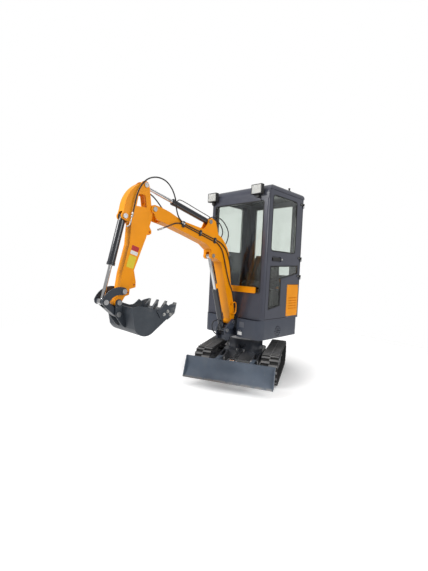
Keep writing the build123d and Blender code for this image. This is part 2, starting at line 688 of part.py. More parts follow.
def upper_window():
    """Side view of the tall window, in the door and in the wall opposite."""
    with Locations(((WINDOW_FRONT + WINDOW_REAR) / 2, (WINDOW_FOOT + WINDOW_TOP) / 2)):
        RectangleRounded(WINDOW_FRONT - WINDOW_REAR, WINDOW_TOP - WINDOW_FOOT, WINDOW_CORNER)


def lower_window():
    """Side view of the door's lower window, which bends over the step."""
    outline(*LOWER_WINDOW)


def screen(inset):
    """Front view of the windscreen's opening, smaller by inset all round."""
    with Locations((0, (SCREEN_FOOT + SCREEN_TOP) / 2)):
        RectangleRounded(2 * (SCREEN_HALF - inset), SCREEN_TOP - SCREEN_FOOT - 2 * inset, SCREEN_CORNER - inset)


def rear_window(inset):
    """Rear view of the back window's opening."""
    tall = WINDOW_TOP - REAR_GLASS_FOOT
    with Locations((0, REAR_GLASS_FOOT + tall / 2)):
        RectangleRounded(2 * (REAR_GLASS_HALF - inset), tall - 2 * inset, SCREEN_CORNER - inset)


def facing(y):
    """Upright plane across the machine at y: its first axis is X, its second is up."""
    return Plane(origin=(0, y, 0), x_dir=(1, 0, 0), z_dir=(0, -1, 0))


with BuildPart() as cab_frame:
    with BuildSketch(Plane.XY.offset(CAB_FLOOR)):
        cab_block(BODY_HALF, CAB_FRONT, CAB_REAR, CAB_CORNER)
        with Locations((0, (CAB_REAR - CAB_FRONT) / 2)):
            Rectangle(2 * (FRAME_SIDE - CAB_WALL), CAB_DEPTH - 2 * CAB_WALL, mode=Mode.SUBTRACT)
    extrude(amount=WALL_TOP - CAB_FLOOR)
    with BuildSketch(facing(-CAB_FRONT)):
        with Locations((0, CAB_EAVES)):
            Rectangle(3 * BODY_HALF, 2 * (CAB_EAVES - BROW_FOOT + SEAT_GAP))
    extrude(amount=-BROW_WALL - SEAT_GAP, mode=Mode.SUBTRACT)
    with BuildSketch(facing(-CAB_FRONT)):
        screen(0)
        with Locations((0, (PANEL_FOOT + PANEL_TOP) / 2)):
            Rectangle(2 * SCREEN_HALF, PANEL_TOP - PANEL_FOOT)
    extrude(amount=-CAB_WALL - SEAT_GAP, mode=Mode.SUBTRACT)
    with BuildSketch(facing(CAB_REAR)):
        rear_window(0)
        with Locations((0, (HOOD_FOOT + HOOD_TOP) / 2)):
            Rectangle(2 * HOOD_HALF - 80, HOOD_TOP - HOOD_FOOT - 80)
    extrude(amount=CAB_WALL, mode=Mode.SUBTRACT)
    with BuildSketch(side(BODY_HALF)):
        door_shape(DOOR_GAP)
        cover_shape(SEAT_GAP)
    extrude(amount=BODY_HALF - FRAME_SIDE, mode=Mode.SUBTRACT)
    with BuildSketch(side(-BODY_HALF)):
        with Locations(((DOOR_FRONT - DOOR_REAR) / 2, (COVER_FOOT + WALL_TOP) / 2)):
            Rectangle(DOOR_FRONT + DOOR_REAR + 2 * DOOR_GAP, WALL_TOP - COVER_FOOT + 2 * SEAT_GAP)
    extrude(amount=FRAME_SIDE - BODY_HALF, mode=Mode.SUBTRACT)
    with BuildSketch(side(0)):
        outline(
            (DOOR_FRONT - 40, DOOR_FOOT + 35), (DOOR_FRONT - 40, DOOR_TOP - 30),
            (40 - DOOR_REAR, DOOR_TOP - 30), (40 - DOOR_REAR, DOOR_SILL + 40),
            (40 - DOOR_STEP, DOOR_SILL + 40), (40 - DOOR_STEP, DOOR_FOOT + 35),
        )
    extrude(amount=-BODY_HALF, mode=Mode.SUBTRACT)
    with BuildSketch(side(0)):
        with Locations(((DOOR_FRONT - DOOR_REAR) / 2, (DOOR_SILL + 40 + DOOR_TOP - 30) / 2)):
            Rectangle(DOOR_FRONT + DOOR_REAR - 80, DOOR_TOP - DOOR_SILL - 70)
    extrude(amount=BODY_HALF, mode=Mode.SUBTRACT)
cab_frame.part.label = "cab_frame"
export_step(cab_frame.part, "parts/cab_frame.step")

with BuildPart() as cab_roof:
    with BuildSketch(side(0)):
        with BuildLine():
            Line((CAB_FRONT, BROW_FOOT), (CAB_FRONT, ROOF_TOP - BROW_RADIUS))
            RadiusArc((CAB_FRONT, ROOF_TOP - BROW_RADIUS), (CAB_FRONT - BROW_RADIUS, ROOF_TOP), -BROW_RADIUS)
            Line((CAB_FRONT - BROW_RADIUS, ROOF_TOP), (ROOF_EDGE - CAB_REAR, ROOF_TOP))
            RadiusArc((ROOF_EDGE - CAB_REAR, ROOF_TOP), (-CAB_REAR, ROOF_TOP - ROOF_EDGE), -ROOF_EDGE)
            Polyline(
                (-CAB_REAR, ROOF_TOP - ROOF_EDGE), (-CAB_REAR, CAB_EAVES),
                (CAB_FRONT - BROW_WALL, CAB_EAVES), (CAB_FRONT - BROW_WALL, BROW_FOOT), (CAB_FRONT, BROW_FOOT),
            )
        make_face()
    extrude(amount=BODY_HALF, both=True)
    with BuildSketch(facing(CAB_REAR)):
        with Locations((0, ROOF_TOP - CAB_DEPTH / 2)):
            RectangleRounded(2 * BODY_HALF, CAB_DEPTH, ROOF_EDGE)
    extrude(amount=CAB_DEPTH, mode=Mode.INTERSECT)
cab_roof.part.label = "cab_roof"
export_step(cab_roof.part, "parts/cab_roof.step")

with BuildPart() as cab_floor:
    with BuildSketch(Plane.XY.offset(CAB_FLOOR)):
        with Locations((0, (CAB_REAR - CAB_FRONT) / 2)):
            Rectangle(2 * (FRAME_SIDE - CAB_WALL - SEAT_GAP), CAB_DEPTH - 2 * (CAB_WALL + SEAT_GAP))
    extrude(amount=FLOOR_PLATE)
cab_floor.part.label = "cab_floor"
export_step(cab_floor.part, "parts/cab_floor.step")

# Rubber seals hold the fixed glass, each a ring in its opening with the pane inside it.
GLASS_IN = SEAT_GAP + SEAL + SEAT_GAP

with BuildPart() as cab_seals:
    with BuildSketch(facing(-CAB_FRONT)):
        screen(SEAT_GAP)
    extrude(amount=-CAB_WALL)
    with BuildSketch(facing(-CAB_FRONT)):
        screen(SEAT_GAP + SEAL)
    extrude(amount=-CAB_WALL, mode=Mode.SUBTRACT)
    with BuildSketch(facing(CAB_REAR)):
        rear_window(SEAT_GAP)
    extrude(amount=CAB_WALL)
    with BuildSketch(facing(CAB_REAR)):
        rear_window(SEAT_GAP + SEAL)
    extrude(amount=CAB_WALL, mode=Mode.SUBTRACT)
    with BuildSketch(side(-BODY_HALF)):
        upper_window()
        offset(amount=-SEAT_GAP)
    extrude(amount=-COVER_THICK)
    with BuildSketch(side(-BODY_HALF)):
        upper_window()
        offset(amount=-SEAT_GAP - SEAL)
    extrude(amount=-COVER_THICK, mode=Mode.SUBTRACT)
cab_seals.part.label = "cab_seals"
export_step(cab_seals.part, "parts/cab_seals.step")

with BuildPart() as cab_glass:
    with BuildSketch(facing(-CAB_FRONT + GLASS_DEEP)):
        screen(GLASS_IN)
    extrude(amount=-GLASS)
    with BuildSketch(facing(CAB_REAR - GLASS_DEEP)):
        rear_window(GLASS_IN)
    extrude(amount=GLASS)
    with BuildSketch(side(-BODY_HALF + GLASS_DEEP)):
        upper_window()
        offset(amount=-GLASS_IN)
    extrude(amount=-GLASS)
cab_glass.part.label = "cab_glass"
export_step(cab_glass.part, "parts/cab_glass.step")

with BuildPart() as front_panel:
    with BuildSketch(facing(-CAB_FRONT)):
        with Locations((0, (PANEL_FOOT + PANEL_TOP) / 2)):
            RectangleRounded(2 * (SCREEN_HALF - SEAT_GAP), PANEL_TOP - PANEL_FOOT - 2 * SEAT_GAP, 6)
    extrude(amount=-CAB_WALL)
front_panel.part.label = "front_panel"
export_step(front_panel.part, "parts/front_panel.step")

with BuildPart() as front_sill:
    with BuildSketch(facing(-CAB_FRONT - SEAT_GAP)):
        with Locations((0, SILL_UP)):
            RectangleRounded(2 * SILL_HALF, SILL_TALL, 12)
    extrude(amount=SILL_DEEP)
front_sill.part.label = "front_sill"
export_step(front_sill.part, "parts/front_sill.step")

with BuildPart() as right_panel:
    with BuildSketch(side(-BODY_HALF)):
        with Locations(((DOOR_FRONT - DOOR_REAR) / 2, (COVER_FOOT + WALL_TOP) / 2)):
            Rectangle(DOOR_FRONT + DOOR_REAR + 2 * (DOOR_GAP - SEAT_GAP), WALL_TOP - COVER_FOOT)
        with Locations((-DOOR_REAR, COVER_FOOT)):
            Rectangle(2 * (DOOR_REAR - DOOR_STEP), 2 * (DOOR_SILL - COVER_FOOT), mode=Mode.SUBTRACT)
        with Locations(((WINDOW_FRONT + WINDOW_REAR) / 2, (WINDOW_FOOT + WINDOW_TOP) / 2)):
            RectangleRounded(
                WINDOW_FRONT - WINDOW_REAR, WINDOW_TOP - WINDOW_FOOT, WINDOW_CORNER, mode=Mode.SUBTRACT
            )
    extrude(amount=-COVER_THICK)
right_panel.part.label = "right_panel"
export_step(right_panel.part, "parts/right_panel.step")

with BuildPart() as side_covers:
    with BuildSketch(side(BODY_HALF)):
        cover_shape(0)
        with Locations((COVER_VENT_BACK, COVER_VENT_UP)):
            with GridLocations(COVER_VENT_PITCH, COVER_VENT_PITCH, 6, 5):
                SlotOverall(COVER_VENT_PITCH - 6, 8, mode=Mode.SUBTRACT)
    extrude(amount=COVER_THICK)
    with BuildSketch(side(-BODY_HALF)):
        with Locations((-(DOOR_STEP + DOOR_REAR + DOOR_GAP) / 2, (COVER_FOOT + DOOR_SILL) / 2)):
            Rectangle(DOOR_REAR - DOOR_STEP + DOOR_GAP - 2 * SEAT_GAP, DOOR_SILL - COVER_FOOT - 2 * SEAT_GAP)
        with Locations((COVER_VENT_BACK, COVER_VENT_UP)):
            with GridLocations(COVER_VENT_PITCH, COVER_VENT_PITCH, 6, 5):
                SlotOverall(COVER_VENT_PITCH - 6, 8, mode=Mode.SUBTRACT)
    extrude(amount=-COVER_THICK)
side_covers.part.label = "side_covers"
export_step(side_covers.part, "parts/side_covers.step")

# Engine hood behind, hinged along its top edge.
HOOD_LINE = (-CAB_REAR - DOOR_GAP - HOOD_PLATE / 2, HOOD_TOP + 6)

with BuildPart() as engine_hood:
    with BuildSketch(facing(CAB_REAR + DOOR_GAP)):
        with Locations((0, (HOOD_FOOT + HOOD_TOP) / 2)):
            RectangleRounded(2 * HOOD_HALF, HOOD_TOP - HOOD_FOOT, 30)
            with GridLocations(HOOD_HALF / 4, 26, 5, 7):
                SlotOverall(HOOD_HALF / 4 - 18, 10, mode=Mode.SUBTRACT)
    extrude(amount=-HOOD_PLATE)
    for hand in (1, -1):
        near, far, inner = hand * (HOOD_HALF - 38), hand * (HOOD_HALF - 72), hand * (HOOD_HALF - 112)
        rod_across(HOOD_LINE, near, far, HINGE_RADIUS)
        rod_across(HOOD_LINE, near, far, HINGE_PIN + PIN_GAP, 0, Mode.SUBTRACT)
        rod_across(HOOD_LINE, far - hand, inner, HINGE_RADIUS + 3, 0, Mode.SUBTRACT)
engine_hood.part.label = "engine_hood"
export_step(engine_hood.part, "parts/engine_hood.step")

with BuildPart() as engine_box:
    with BuildSketch(Plane.XY.offset(CAB_FLOOR + FLOOR_PLATE + SEAT_GAP)):
        with Locations((0, (BOX_FRONT + BOX_REAR) / 2)):
            RectangleRounded(2 * BOX_HALF, BOX_REAR - BOX_FRONT, 20)
    extrude(amount=SEAT_FOOT - CAB_FLOOR - FLOOR_PLATE - SEAT_GAP)
    with BuildSketch(Plane.XY.offset(CAB_FLOOR + FLOOR_PLATE)):
        with Locations((0, (BOX_FRONT + BOX_REAR) / 2)):
            Rectangle(2 * BOX_HALF - 2 * SKIRT, BOX_REAR - BOX_FRONT - 2 * SKIRT)
    extrude(amount=SEAT_FOOT - CAB_FLOOR - FLOOR_PLATE - SKIRT, mode=Mode.SUBTRACT)
engine_box.part.label = "engine_box"
export_step(engine_box.part, "parts/engine_box.step")

with BuildPart() as engine:
    with BuildSketch(Plane.XY.offset(CAB_FLOOR + FLOOR_PLATE + SEAT_GAP)):
        with Locations((0, (BOX_FRONT + BOX_REAR) / 2)):
            Rectangle(ENGINE_WIDE, ENGINE_LONG)
    extrude(amount=ENGINE_TALL)
engine.part.label = "engine"
export_step(engine.part, "parts/engine.step")

# Seat: a pan cushion and a raked back, soft solids.
with BuildPart() as seat:
    with BuildSketch(side(0)):
        with BuildLine():
            Polyline(
                (SEAT_FRONT, SEAT_FOOT + SEAT_GAP), (SEAT_FRONT + 10, SEAT_FOOT + 70),
                (SEAT_FRONT - 20, SEAT_FOOT + 100), (SEAT_BACK + 110, SEAT_FOOT + 85),
                (SEAT_BACK + 30, SEAT_FOOT + 430), (SEAT_BACK - 15, SEAT_FOOT + 470),
                (SEAT_BACK - 60, SEAT_FOOT + 450), (SEAT_BACK, SEAT_FOOT + SEAT_GAP),
                (SEAT_FRONT, SEAT_FOOT + SEAT_GAP),
            )
        make_face()
        fillet(vertices(), 12)
    extrude(amount=SEAT_HALF, both=True)
seat.part.label = "seat"
export_step(seat.part, "parts/seat.step")

# Controls: two joystick posts beside the seat, two travel levers and their pedals in front.
with BuildPart() as controls:
    for hand in (1, -1):
        with BuildSketch(Plane.XY.offset(CAB_FLOOR + FLOOR_PLATE + SEAT_GAP)):
            with Locations((hand * STICK_OUT, -STICK_AT)):
                RectangleRounded(70, 90, 15)
        extrude(amount=STICK_UP - CAB_FLOOR - FLOOR_PLATE)
        with Locations(Location((hand * STICK_OUT, -STICK_AT, STICK_UP + 50))):
            Cone(26, 10, 100)
        with Locations(Location((hand * STICK_OUT, -STICK_AT, STICK_UP + 150))):
            Cylinder(9, 120)
        with Locations(Location((hand * STICK_OUT, -STICK_AT, STICK_UP + 230))):
            Cylinder(19, 80)
        with Locations(Location((hand * TRAVEL_OUT, -TRAVEL_AT, CAB_FLOOR + FLOOR_PLATE + SEAT_GAP + 30))):
            Box(70, 60, 60)
        with Locations(Location((hand * TRAVEL_OUT, 44 - TRAVEL_AT, CAB_FLOOR + FLOOR_PLATE + 255), (-12, 0, 0))):
            Cylinder(8, 420)
        with Locations(Location((hand * TRAVEL_OUT, 92 - TRAVEL_AT, CAB_FLOOR + FLOOR_PLATE + 480), (-12, 0, 0))):
            Cylinder(16, 100)
controls.part.label = "controls"
export_step(controls.part, "parts/controls.step")

# Work lamps on the brow of the roof: a shallow box on a foot, with a lens in front.
with BuildPart() as lamps:
    for out, up in LAMP_SPOTS:
        with Locations((out, -CAB_FRONT - LAMP_AHEAD, up)):
            Box(LAMP_WIDE, LAMP_DEEP, LAMP_TALL)
        with Locations((out, -CAB_FRONT - LAMP_AHEAD - LAMP_DEEP / 2, up)):
            Box(LAMP_WIDE - 16, 2 * LENS, LAMP_TALL - 16, mode=Mode.SUBTRACT)
        with Locations((out, -CAB_FRONT - SEAT_GAP - LAMP_AHEAD / 2, up - LAMP_TALL / 2 - 12)):
            Box(36, LAMP_AHEAD, 40)
lamps.part.label = "lamps"
export_step(lamps.part, "parts/lamps.step")

with BuildPart() as lamp_lenses:
    for out, up in LAMP_SPOTS:
        with Locations((out, -CAB_FRONT - LAMP_AHEAD - LAMP_DEEP / 2 + LENS / 2 - SEAT_GAP, up)):
            Box(LAMP_WIDE - 16 - 2 * SEAT_GAP, LENS, LAMP_TALL - 16 - 2 * SEAT_GAP)
lamp_lenses.part.label = "lamp_lenses"
export_step(lamp_lenses.part, "parts/lamp_lenses.step")

# Door with its two windows, on knuckle hinges behind.
with BuildPart() as door:
    with BuildSketch(side(BODY_HALF)):
        door_shape(0)
    extrude(amount=DOOR_SKIN)
    with BuildSketch(side(BODY_HALF)):
        upper_window()
        lower_window()
    extrude(amount=DOOR_SKIN, mode=Mode.SUBTRACT)
    with BuildSketch(side(BODY_HALF)):
        with Locations(HANDLE_SPOT):
            RectangleRounded(HANDLE_LONG, HANDLE_TALL, 20)
    extrude(amount=HANDLE_DEEP, mode=Mode.SUBTRACT)
door.part.label = "door"
export_step(door.part, "parts/door.step")

with BuildPart() as door_seals:
    with BuildSketch(side(BODY_HALF)):
        upper_window()
        lower_window()
        offset(amount=-SEAT_GAP)
    extrude(amount=DOOR_SKIN)
    with BuildSketch(side(BODY_HALF)):
        upper_window()
        lower_window()
        offset(amount=-SEAT_GAP - SEAL)
    extrude(amount=DOOR_SKIN, mode=Mode.SUBTRACT)
door_seals.part.label = "door_seals"
export_step(door_seals.part, "parts/door_seals.step")

with BuildPart() as door_glass:
    with BuildSketch(side(BODY_HALF - GLASS_DEEP + GLASS)):
        upper_window()
        lower_window()
        offset(amount=-GLASS_IN)
    extrude(amount=GLASS)
door_glass.part.label = "door_glass"
export_step(door_glass.part, "parts/door_glass.step")


def knuckle(up, radius, mode=Mode.ADD):
    """Length of the door's hinge line, centred at a height."""
    with Locations((HINGE_OUT, HINGE_BACK, up)):
        Cylinder(radius, HINGE_TALL, mode=mode)


def leaf(up, start, end):
    """Flat hinge leaf on the outer face, from one place behind the slewing axis to another."""
    with Locations((BODY_HALF + SEAT_GAP + LEAF / 2, (start + end) / 2, up)):
        Box(LEAF, end - start, HINGE_TALL)


with BuildPart() as door_fittings:
    for up in HINGE_HEIGHTS:
        leaf(up + HINGE_TALL / 2, HINGE_BACK - 60, HINGE_BACK)
        knuckle(up + HINGE_TALL / 2, HINGE_RADIUS)
        knuckle(up + HINGE_TALL / 2, HINGE_PIN + PIN_GAP, Mode.SUBTRACT)
    with BuildSketch(side(BODY_HALF - HANDLE_DEEP + 16 + SEAT_GAP)):
        with Locations(HANDLE_SPOT):
            RectangleRounded(HANDLE_LONG - 40, HANDLE_TALL - 26, 8)
    extrude(amount=16)
door_fittings.part.label = "door_fittings"
export_step(door_fittings.part, "parts/door_fittings.step")

with BuildPart() as frame_hinges:
    for up in HINGE_HEIGHTS:
        leaf(up - HINGE_TALL / 2 - SEAT_GAP, HINGE_BACK, HINGE_BACK + 8)
        knuckle(up - HINGE_TALL / 2 - SEAT_GAP, HINGE_RADIUS)
        knuckle(up + HINGE_TALL / 2 - SEAT_GAP, HINGE_PIN)
    for hand in (1, -1):
        rod_across(HOOD_LINE, hand * (HOOD_HALF - 40), hand * (HOOD_HALF - 110), HINGE_PIN)
        rod_across(HOOD_LINE, hand * (HOOD_HALF - 74), hand * (HOOD_HALF - 110), HINGE_RADIUS)
        with Locations((hand * (HOOD_HALF - 92), CAB_REAR + SEAT_GAP + 4, HOOD_LINE[1] + 12)):
            Box(36, 8, 36)
frame_hinges.part.label = "frame_hinges"
export_step(frame_hinges.part, "parts/frame_hinges.step")

# Swing post: a fork that holds the nose of the platform above and below, with two side plates
# that carry the boom's foot and its ram.
EAR_MID = POST_EAR_IN + POST_EAR / 2
POST_LOW = TONGUE_LOW - POST_SLACK - POST_PLATE
POST_HIGH = TONGUE_HIGH + POST_SLACK

with BuildPart() as swing_post:
    for low in (POST_LOW, POST_HIGH):
        with BuildSketch(Plane.XY.offset(low)):
            with Locations((0, -SWING_AT)):
                Circle(POST_ROUND)
            outline(
                (POST_ROUND, -SWING_AT), (POST_EAR_IN + 2, -POST_WEB), (POST_EAR_IN + 2, -POST_WEB - POST_WALL),
                (-POST_EAR_IN - 2, -POST_WEB - POST_WALL), (-POST_EAR_IN - 2, -POST_WEB), (-POST_ROUND, -SWING_AT),
            )
            with Locations((0, -SWING_AT)):
                Circle(PIN + PIN_GAP, mode=Mode.SUBTRACT)
        extrude(amount=POST_PLATE)
    with BuildSketch(Plane.XY.offset(POST_LOW)):
        with Locations((0, -POST_WEB - POST_WALL / 2)):
            Rectangle(2 * POST_EAR_IN + 4, POST_WALL)
    extrude(amount=POST_HIGH + POST_PLATE - POST_LOW)
    for hand in (1, -1):
        with BuildSketch(side(hand * EAR_MID)):
            outline(
                (POST_WEB, POST_LOW), (BOOM_RAM_BASE[0] + 6, POST_LOW), (BOOM_RAM_BASE[0] + 30, BOOM_RAM_BASE[1] - 10),
                (BOOM_RAM_BASE[0] + 18, BOOM_RAM_BASE[1] + 26), (BOOM_FOOT[0] + 22, BOOM_FOOT[1] + 26),
                (BOOM_FOOT[0] - 33, BOOM_FOOT[1] - 8), (BOOM_FOOT[0] - 10, POST_HIGH + 4),
                (POST_WEB, POST_HIGH),
            )
            discs((BOOM_FOOT, POST_BOSS), (BOOM_RAM_BASE, POST_BOSS - 4))
            bores((BOOM_FOOT, PIN + PIN_GAP), (BOOM_RAM_BASE, PIN + PIN_GAP))
        extrude(amount=POST_EAR / 2, both=True)
swing_post.part.label = "swing_post"
export_step(swing_post.part, "parts/swing_post.step")

with BuildPart() as post_pins:
    pin(BOOM_FOOT, POST_EAR_IN + POST_EAR)
    pin(BOOM_RAM_BASE, POST_EAR_IN + POST_EAR)
    with Locations((0, -SWING_AT, (POST_LOW + POST_HIGH + POST_PLATE) / 2)):
        Cylinder(PIN, POST_HIGH + POST_PLATE - POST_LOW + 2 * SEAT_GAP)
    with Locations((0, -SWING_AT, POST_HIGH + POST_PLATE + SEAT_GAP + PIN_HEAD / 2)):
        Cylinder(PIN + 2 * PIN_BRIM, PIN_HEAD)
    with Locations((0, -SWING_AT, POST_LOW - SEAT_GAP - PIN_HEAD / 2)):
        Cylinder(PIN + 2 * PIN_BRIM, PIN_HEAD)
post_pins.part.label = "post_pins"
export_step(post_pins.part, "parts/post_pins.step")

# Boom: a bent box with a narrow foot in the swing post, a gusset for its ram inside the bend, ears
# for the arm's ram on top and a fork at the tip.
FORK_IN = ARM_HALF + SIDE_GAP

with BuildPart() as boom:
    with BuildSketch(side(0)):
        with BuildLine():
            leg = Polyline((328, BOOM_FOOT[1]), (318, 680), (332, 760), (412, 1012), (478, 1395))
            Spline(leg @ 1, (524, 1492), (588, 1563), (708, 1622), tangents=((0.17, 0.98), (0.97, 0.2)))
            top = Polyline((708, 1622), (941, 1656), (1218, 1699), (1374, 1758), (1487, 1787), (BOOM_TIP[0], 1796))
            RadiusArc(top @ 1, (BOOM_TIP[0] + 12, BOOM_TIP[1] - 36), 38)
            Polyline(
                (BOOM_TIP[0] + 12, BOOM_TIP[1] - 36), (1530, 1670), (1506, 1659), (1343, 1629),
                (1116, 1571), (865, 1501), (776, 1443), (BOOM_RAM_EYE[0] + 30, BOOM_RAM_EYE[1]),
                (BOOM_RAM_EYE[0], BOOM_RAM_EYE[1] - 32), (BOOM_RAM_EYE[0] - 40, BOOM_RAM_EYE[1] - 20),
                (608, 1314), (505, 1003), (392, 655), (396, BOOM_FOOT[1]), (328, BOOM_FOOT[1]),
            )
        make_face()
        discs((BOOM_RAM_EYE, RAM_BOSS + 6))
    extrude(amount=BOOM_HALF, both=True)
    with BuildSketch(side(0)):
        with Locations((BOOM_FOOT[0], BOOM_FOOT[1] + 10)):
            Rectangle(400, 180)
    extrude(amount=BOOM_HALF, both=True, mode=Mode.SUBTRACT)
    with BuildSketch(side(0)):
        discs((BOOM_FOOT, POST_BOSS - 2))
        outline((328, BOOM_FOOT[1]), (318, 680), (327, 726), (415, 726), (392, 655), (396, BOOM_FOOT[1]))
    extrude(amount=FOOT_HALF, both=True)
    with BuildSketch(side(0)):
        discs((BOOM_FOOT, POST_BOSS - 2))
    extrude(amount=POST_EAR_IN - SIDE_GAP, both=True)
    for out in (RAM_EAR, -RAM_EAR):
        with BuildSketch(side(out)):
            outline((644, 1600), (705, 1760), (775, 1790), (824, 1735), (846, 1690), (900, 1640))
            discs((ARM_RAM_BASE, RAM_BOSS + 4))
        extrude(amount=EAR_PLATE / 2, both=True)
    with BuildSketch(side(0)):
        discs((BOOM_TIP, FORK_ROOM))
    extrude(amount=FORK_IN, both=True, mode=Mode.SUBTRACT)
    with BuildSketch(side(0)):
        discs((BOOM_RAM_EYE, EYE_ROOM))
    extrude(amount=RAM_HALF + SIDE_GAP, both=True, mode=Mode.SUBTRACT)
    with BuildSketch(side(0)):
        with Locations(BOOM_FOOT, BOOM_TIP, BOOM_RAM_EYE, ARM_RAM_BASE):
            Circle(PIN + PIN_GAP)
    extrude(amount=2 * BOOM_HALF, both=True, mode=Mode.SUBTRACT)
boom.part.label = "boom"
export_step(boom.part, "parts/boom.step")

with BuildPart() as boom_pins:
    pin(BOOM_TIP, BOOM_HALF)
    pin(ARM_RAM_BASE, RAM_EAR + EAR_PLATE / 2)
    pin_stubs(BOOM_RAM_EYE, RAM_HALF + 2 * SIDE_GAP, BOOM_HALF)
boom_pins.part.label = "boom_pins"
export_step(boom_pins.part, "parts/boom_pins.step")

ram("boom_ram", BOOM_RAM_BASE, BOOM_RAM_EYE, 33, 19, 495, 200, 130, POST_EAR_IN - SIDE_GAP)
ram("arm_ram", ARM_RAM_BASE, ARM_TOP, 30, 17, 530, 215, 155, RAM_HALF)

# Arm: a tapered box with a forked head that carries the rod of its ram and the base of the
# bucket's, an ear behind, two small lugs and the end that holds the bucket.
with BuildPart() as arm:
    with BuildSketch(side(0)):
        with BuildLine():
            Polyline((1567, 1692), (1587, 1797), (ARM_TOP[0] - 34, ARM_TOP[1]))
            head = ThreePointArc((ARM_TOP[0] - 34, ARM_TOP[1]), (ARM_TOP[0], ARM_TOP[1] + 34), (1700, 1972))
            ThreePointArc(head @ 1, (1815, 1868), (1866, 1723))
            Polyline(
                (1866, 1723), (BUCKET_RAM_BASE[0] + 32, BUCKET_RAM_BASE[1]),
                (BUCKET_RAM_BASE[0] + 10, BUCKET_RAM_BASE[1] - 32), (1790, 1600), (1800, 1417),
                (1862, 1161), (ROCKER_PIN[0] + 34, ROCKER_PIN[1]), (BUCKET_PIVOT[0] + 20, BUCKET_PIVOT[1]),
                (BUCKET_PIVOT[0] - 30, BUCKET_PIVOT[1]), (1822, 960), (1751, 1168), (1629, 1487),
                (1588, 1620), (1567, 1692),
            )
        make_face()
        discs((BOOM_TIP, 38), (BUCKET_PIVOT, ARM_BOSS), (ROCKER_PIN, ARM_BOSS), (BUCKET_RAM_BASE, RAM_BOSS + 6))
        with BuildLine():
            Polyline((1654, 1870), (1724, 1870), (1744, 1760), (1635, 1760), (1654, 1870))
        make_face(mode=Mode.SUBTRACT)
    extrude(amount=ARM_HALF, both=True)
    with BuildSketch(side(0)):
        outline(
            (1540, 1812), (1540, 2040), (1745, 2040), (1738, 1960), (1712, 1935), (1775, 1868), (1815, 1790),
            (1830, 1725), (1660, 1740), (1618, 1812),
        )
    extrude(amount=ARM_HALF - HEAD_PLATE, both=True, mode=Mode.SUBTRACT)
    with BuildSketch(side(0)):
        discs((BUCKET_RAM_BASE, EYE_ROOM - 6))
        outline(
            (BUCKET_RAM_BASE[0], BUCKET_RAM_BASE[1]), (BUCKET_RAM_BASE[0] + 90, BUCKET_RAM_BASE[1] + 20),
            (BUCKET_RAM_BASE[0] + 90, BUCKET_RAM_BASE[1] - 140), (BUCKET_RAM_BASE[0] - 36, BUCKET_RAM_BASE[1] - 140),
            (BUCKET_RAM_BASE[0] - 44, BUCKET_RAM_BASE[1]),
        )
    extrude(amount=RAM_HALF + SIDE_GAP, both=True, mode=Mode.SUBTRACT)
    with BuildSketch(side(0)):
        outline((1590, 1622), (1552, 1558), (1552, 1535), (1575, 1520), (1620, 1524))
        outline((1729, 1210), (1700, 1085), (1700, 1035), (1800, 1010))
        outline((1782, 1080), (1760, 1010), (1765, 968), (1830, 948))
    extrude(amount=LUG_HALF, both=True)
    with BuildSketch(side(0)):
        with Locations(BOOM_TIP, BUCKET_PIVOT, ROCKER_PIN, BUCKET_RAM_BASE, ARM_TOP):
            Circle(PIN + PIN_GAP)
        with Locations((1572, 1546), (1718, 1058), (1778, 990)):
            Circle(9)
    extrude(amount=ARM_HALF, both=True, mode=Mode.SUBTRACT)
arm.part.label = "arm"
export_step(arm.part, "parts/arm.step")

with BuildPart() as arm_pins:
    pin(BUCKET_RAM_BASE, ARM_HALF)
    pin_stubs(ARM_TOP, RAM_HALF + 2 * SIDE_GAP, ARM_HALF)
arm_pins.part.label = "arm_pins"
export_step(arm_pins.part, "parts/arm_pins.step")

ram("bucket_ram", BUCKET_RAM_BASE, LINK_PIN, 33, 16, 440, 285, 232, RAM_HALF)

# Linkage: two curved rockers outside the arm, and a link between them and the bucket.
with BuildPart() as rockers:
    for hand in (1, -1):
        with BuildSketch(side(hand * (ROCKER_IN + EAR_PLATE / 2))):
            with BuildLine():
                ThreePointArc((1832, 1032), (1935, 1036), (2052, 925))
                Line((2052, 925), (1992, 898))
                ThreePointArc((1992, 898), (1932, 968), (1866, 972))
                Line((1866, 972), (1832, 1032))
            make_face()
            discs((ROCKER_PIN, ROCKER_BOSS), (LINK_PIN, ROCKER_BOSS))
            bores((ROCKER_PIN, PIN + PIN_GAP), (LINK_PIN, PIN + PIN_GAP))
        extrude(amount=EAR_PLATE / 2, both=True)
        with BuildSketch(side(hand * (ROCKER_IN + FORK_IN) / 2)):
            discs((ROCKER_PIN, ROCKER_BOSS - 6))
            bores((ROCKER_PIN, PIN + PIN_GAP))
        extrude(amount=(ROCKER_IN - FORK_IN) / 2, both=True)
rockers.part.label = "rockers"
export_step(rockers.part, "parts/rockers.step")

with BuildPart() as rocker_pins:
    pin(ROCKER_PIN, ROCKER_IN + EAR_PLATE)
    pin_stubs(LINK_PIN, RAM_HALF + 2 * SIDE_GAP, ROCKER_IN + EAR_PLATE)
rocker_pins.part.label = "rocker_pins"
export_step(rocker_pins.part, "parts/rocker_pins.step")

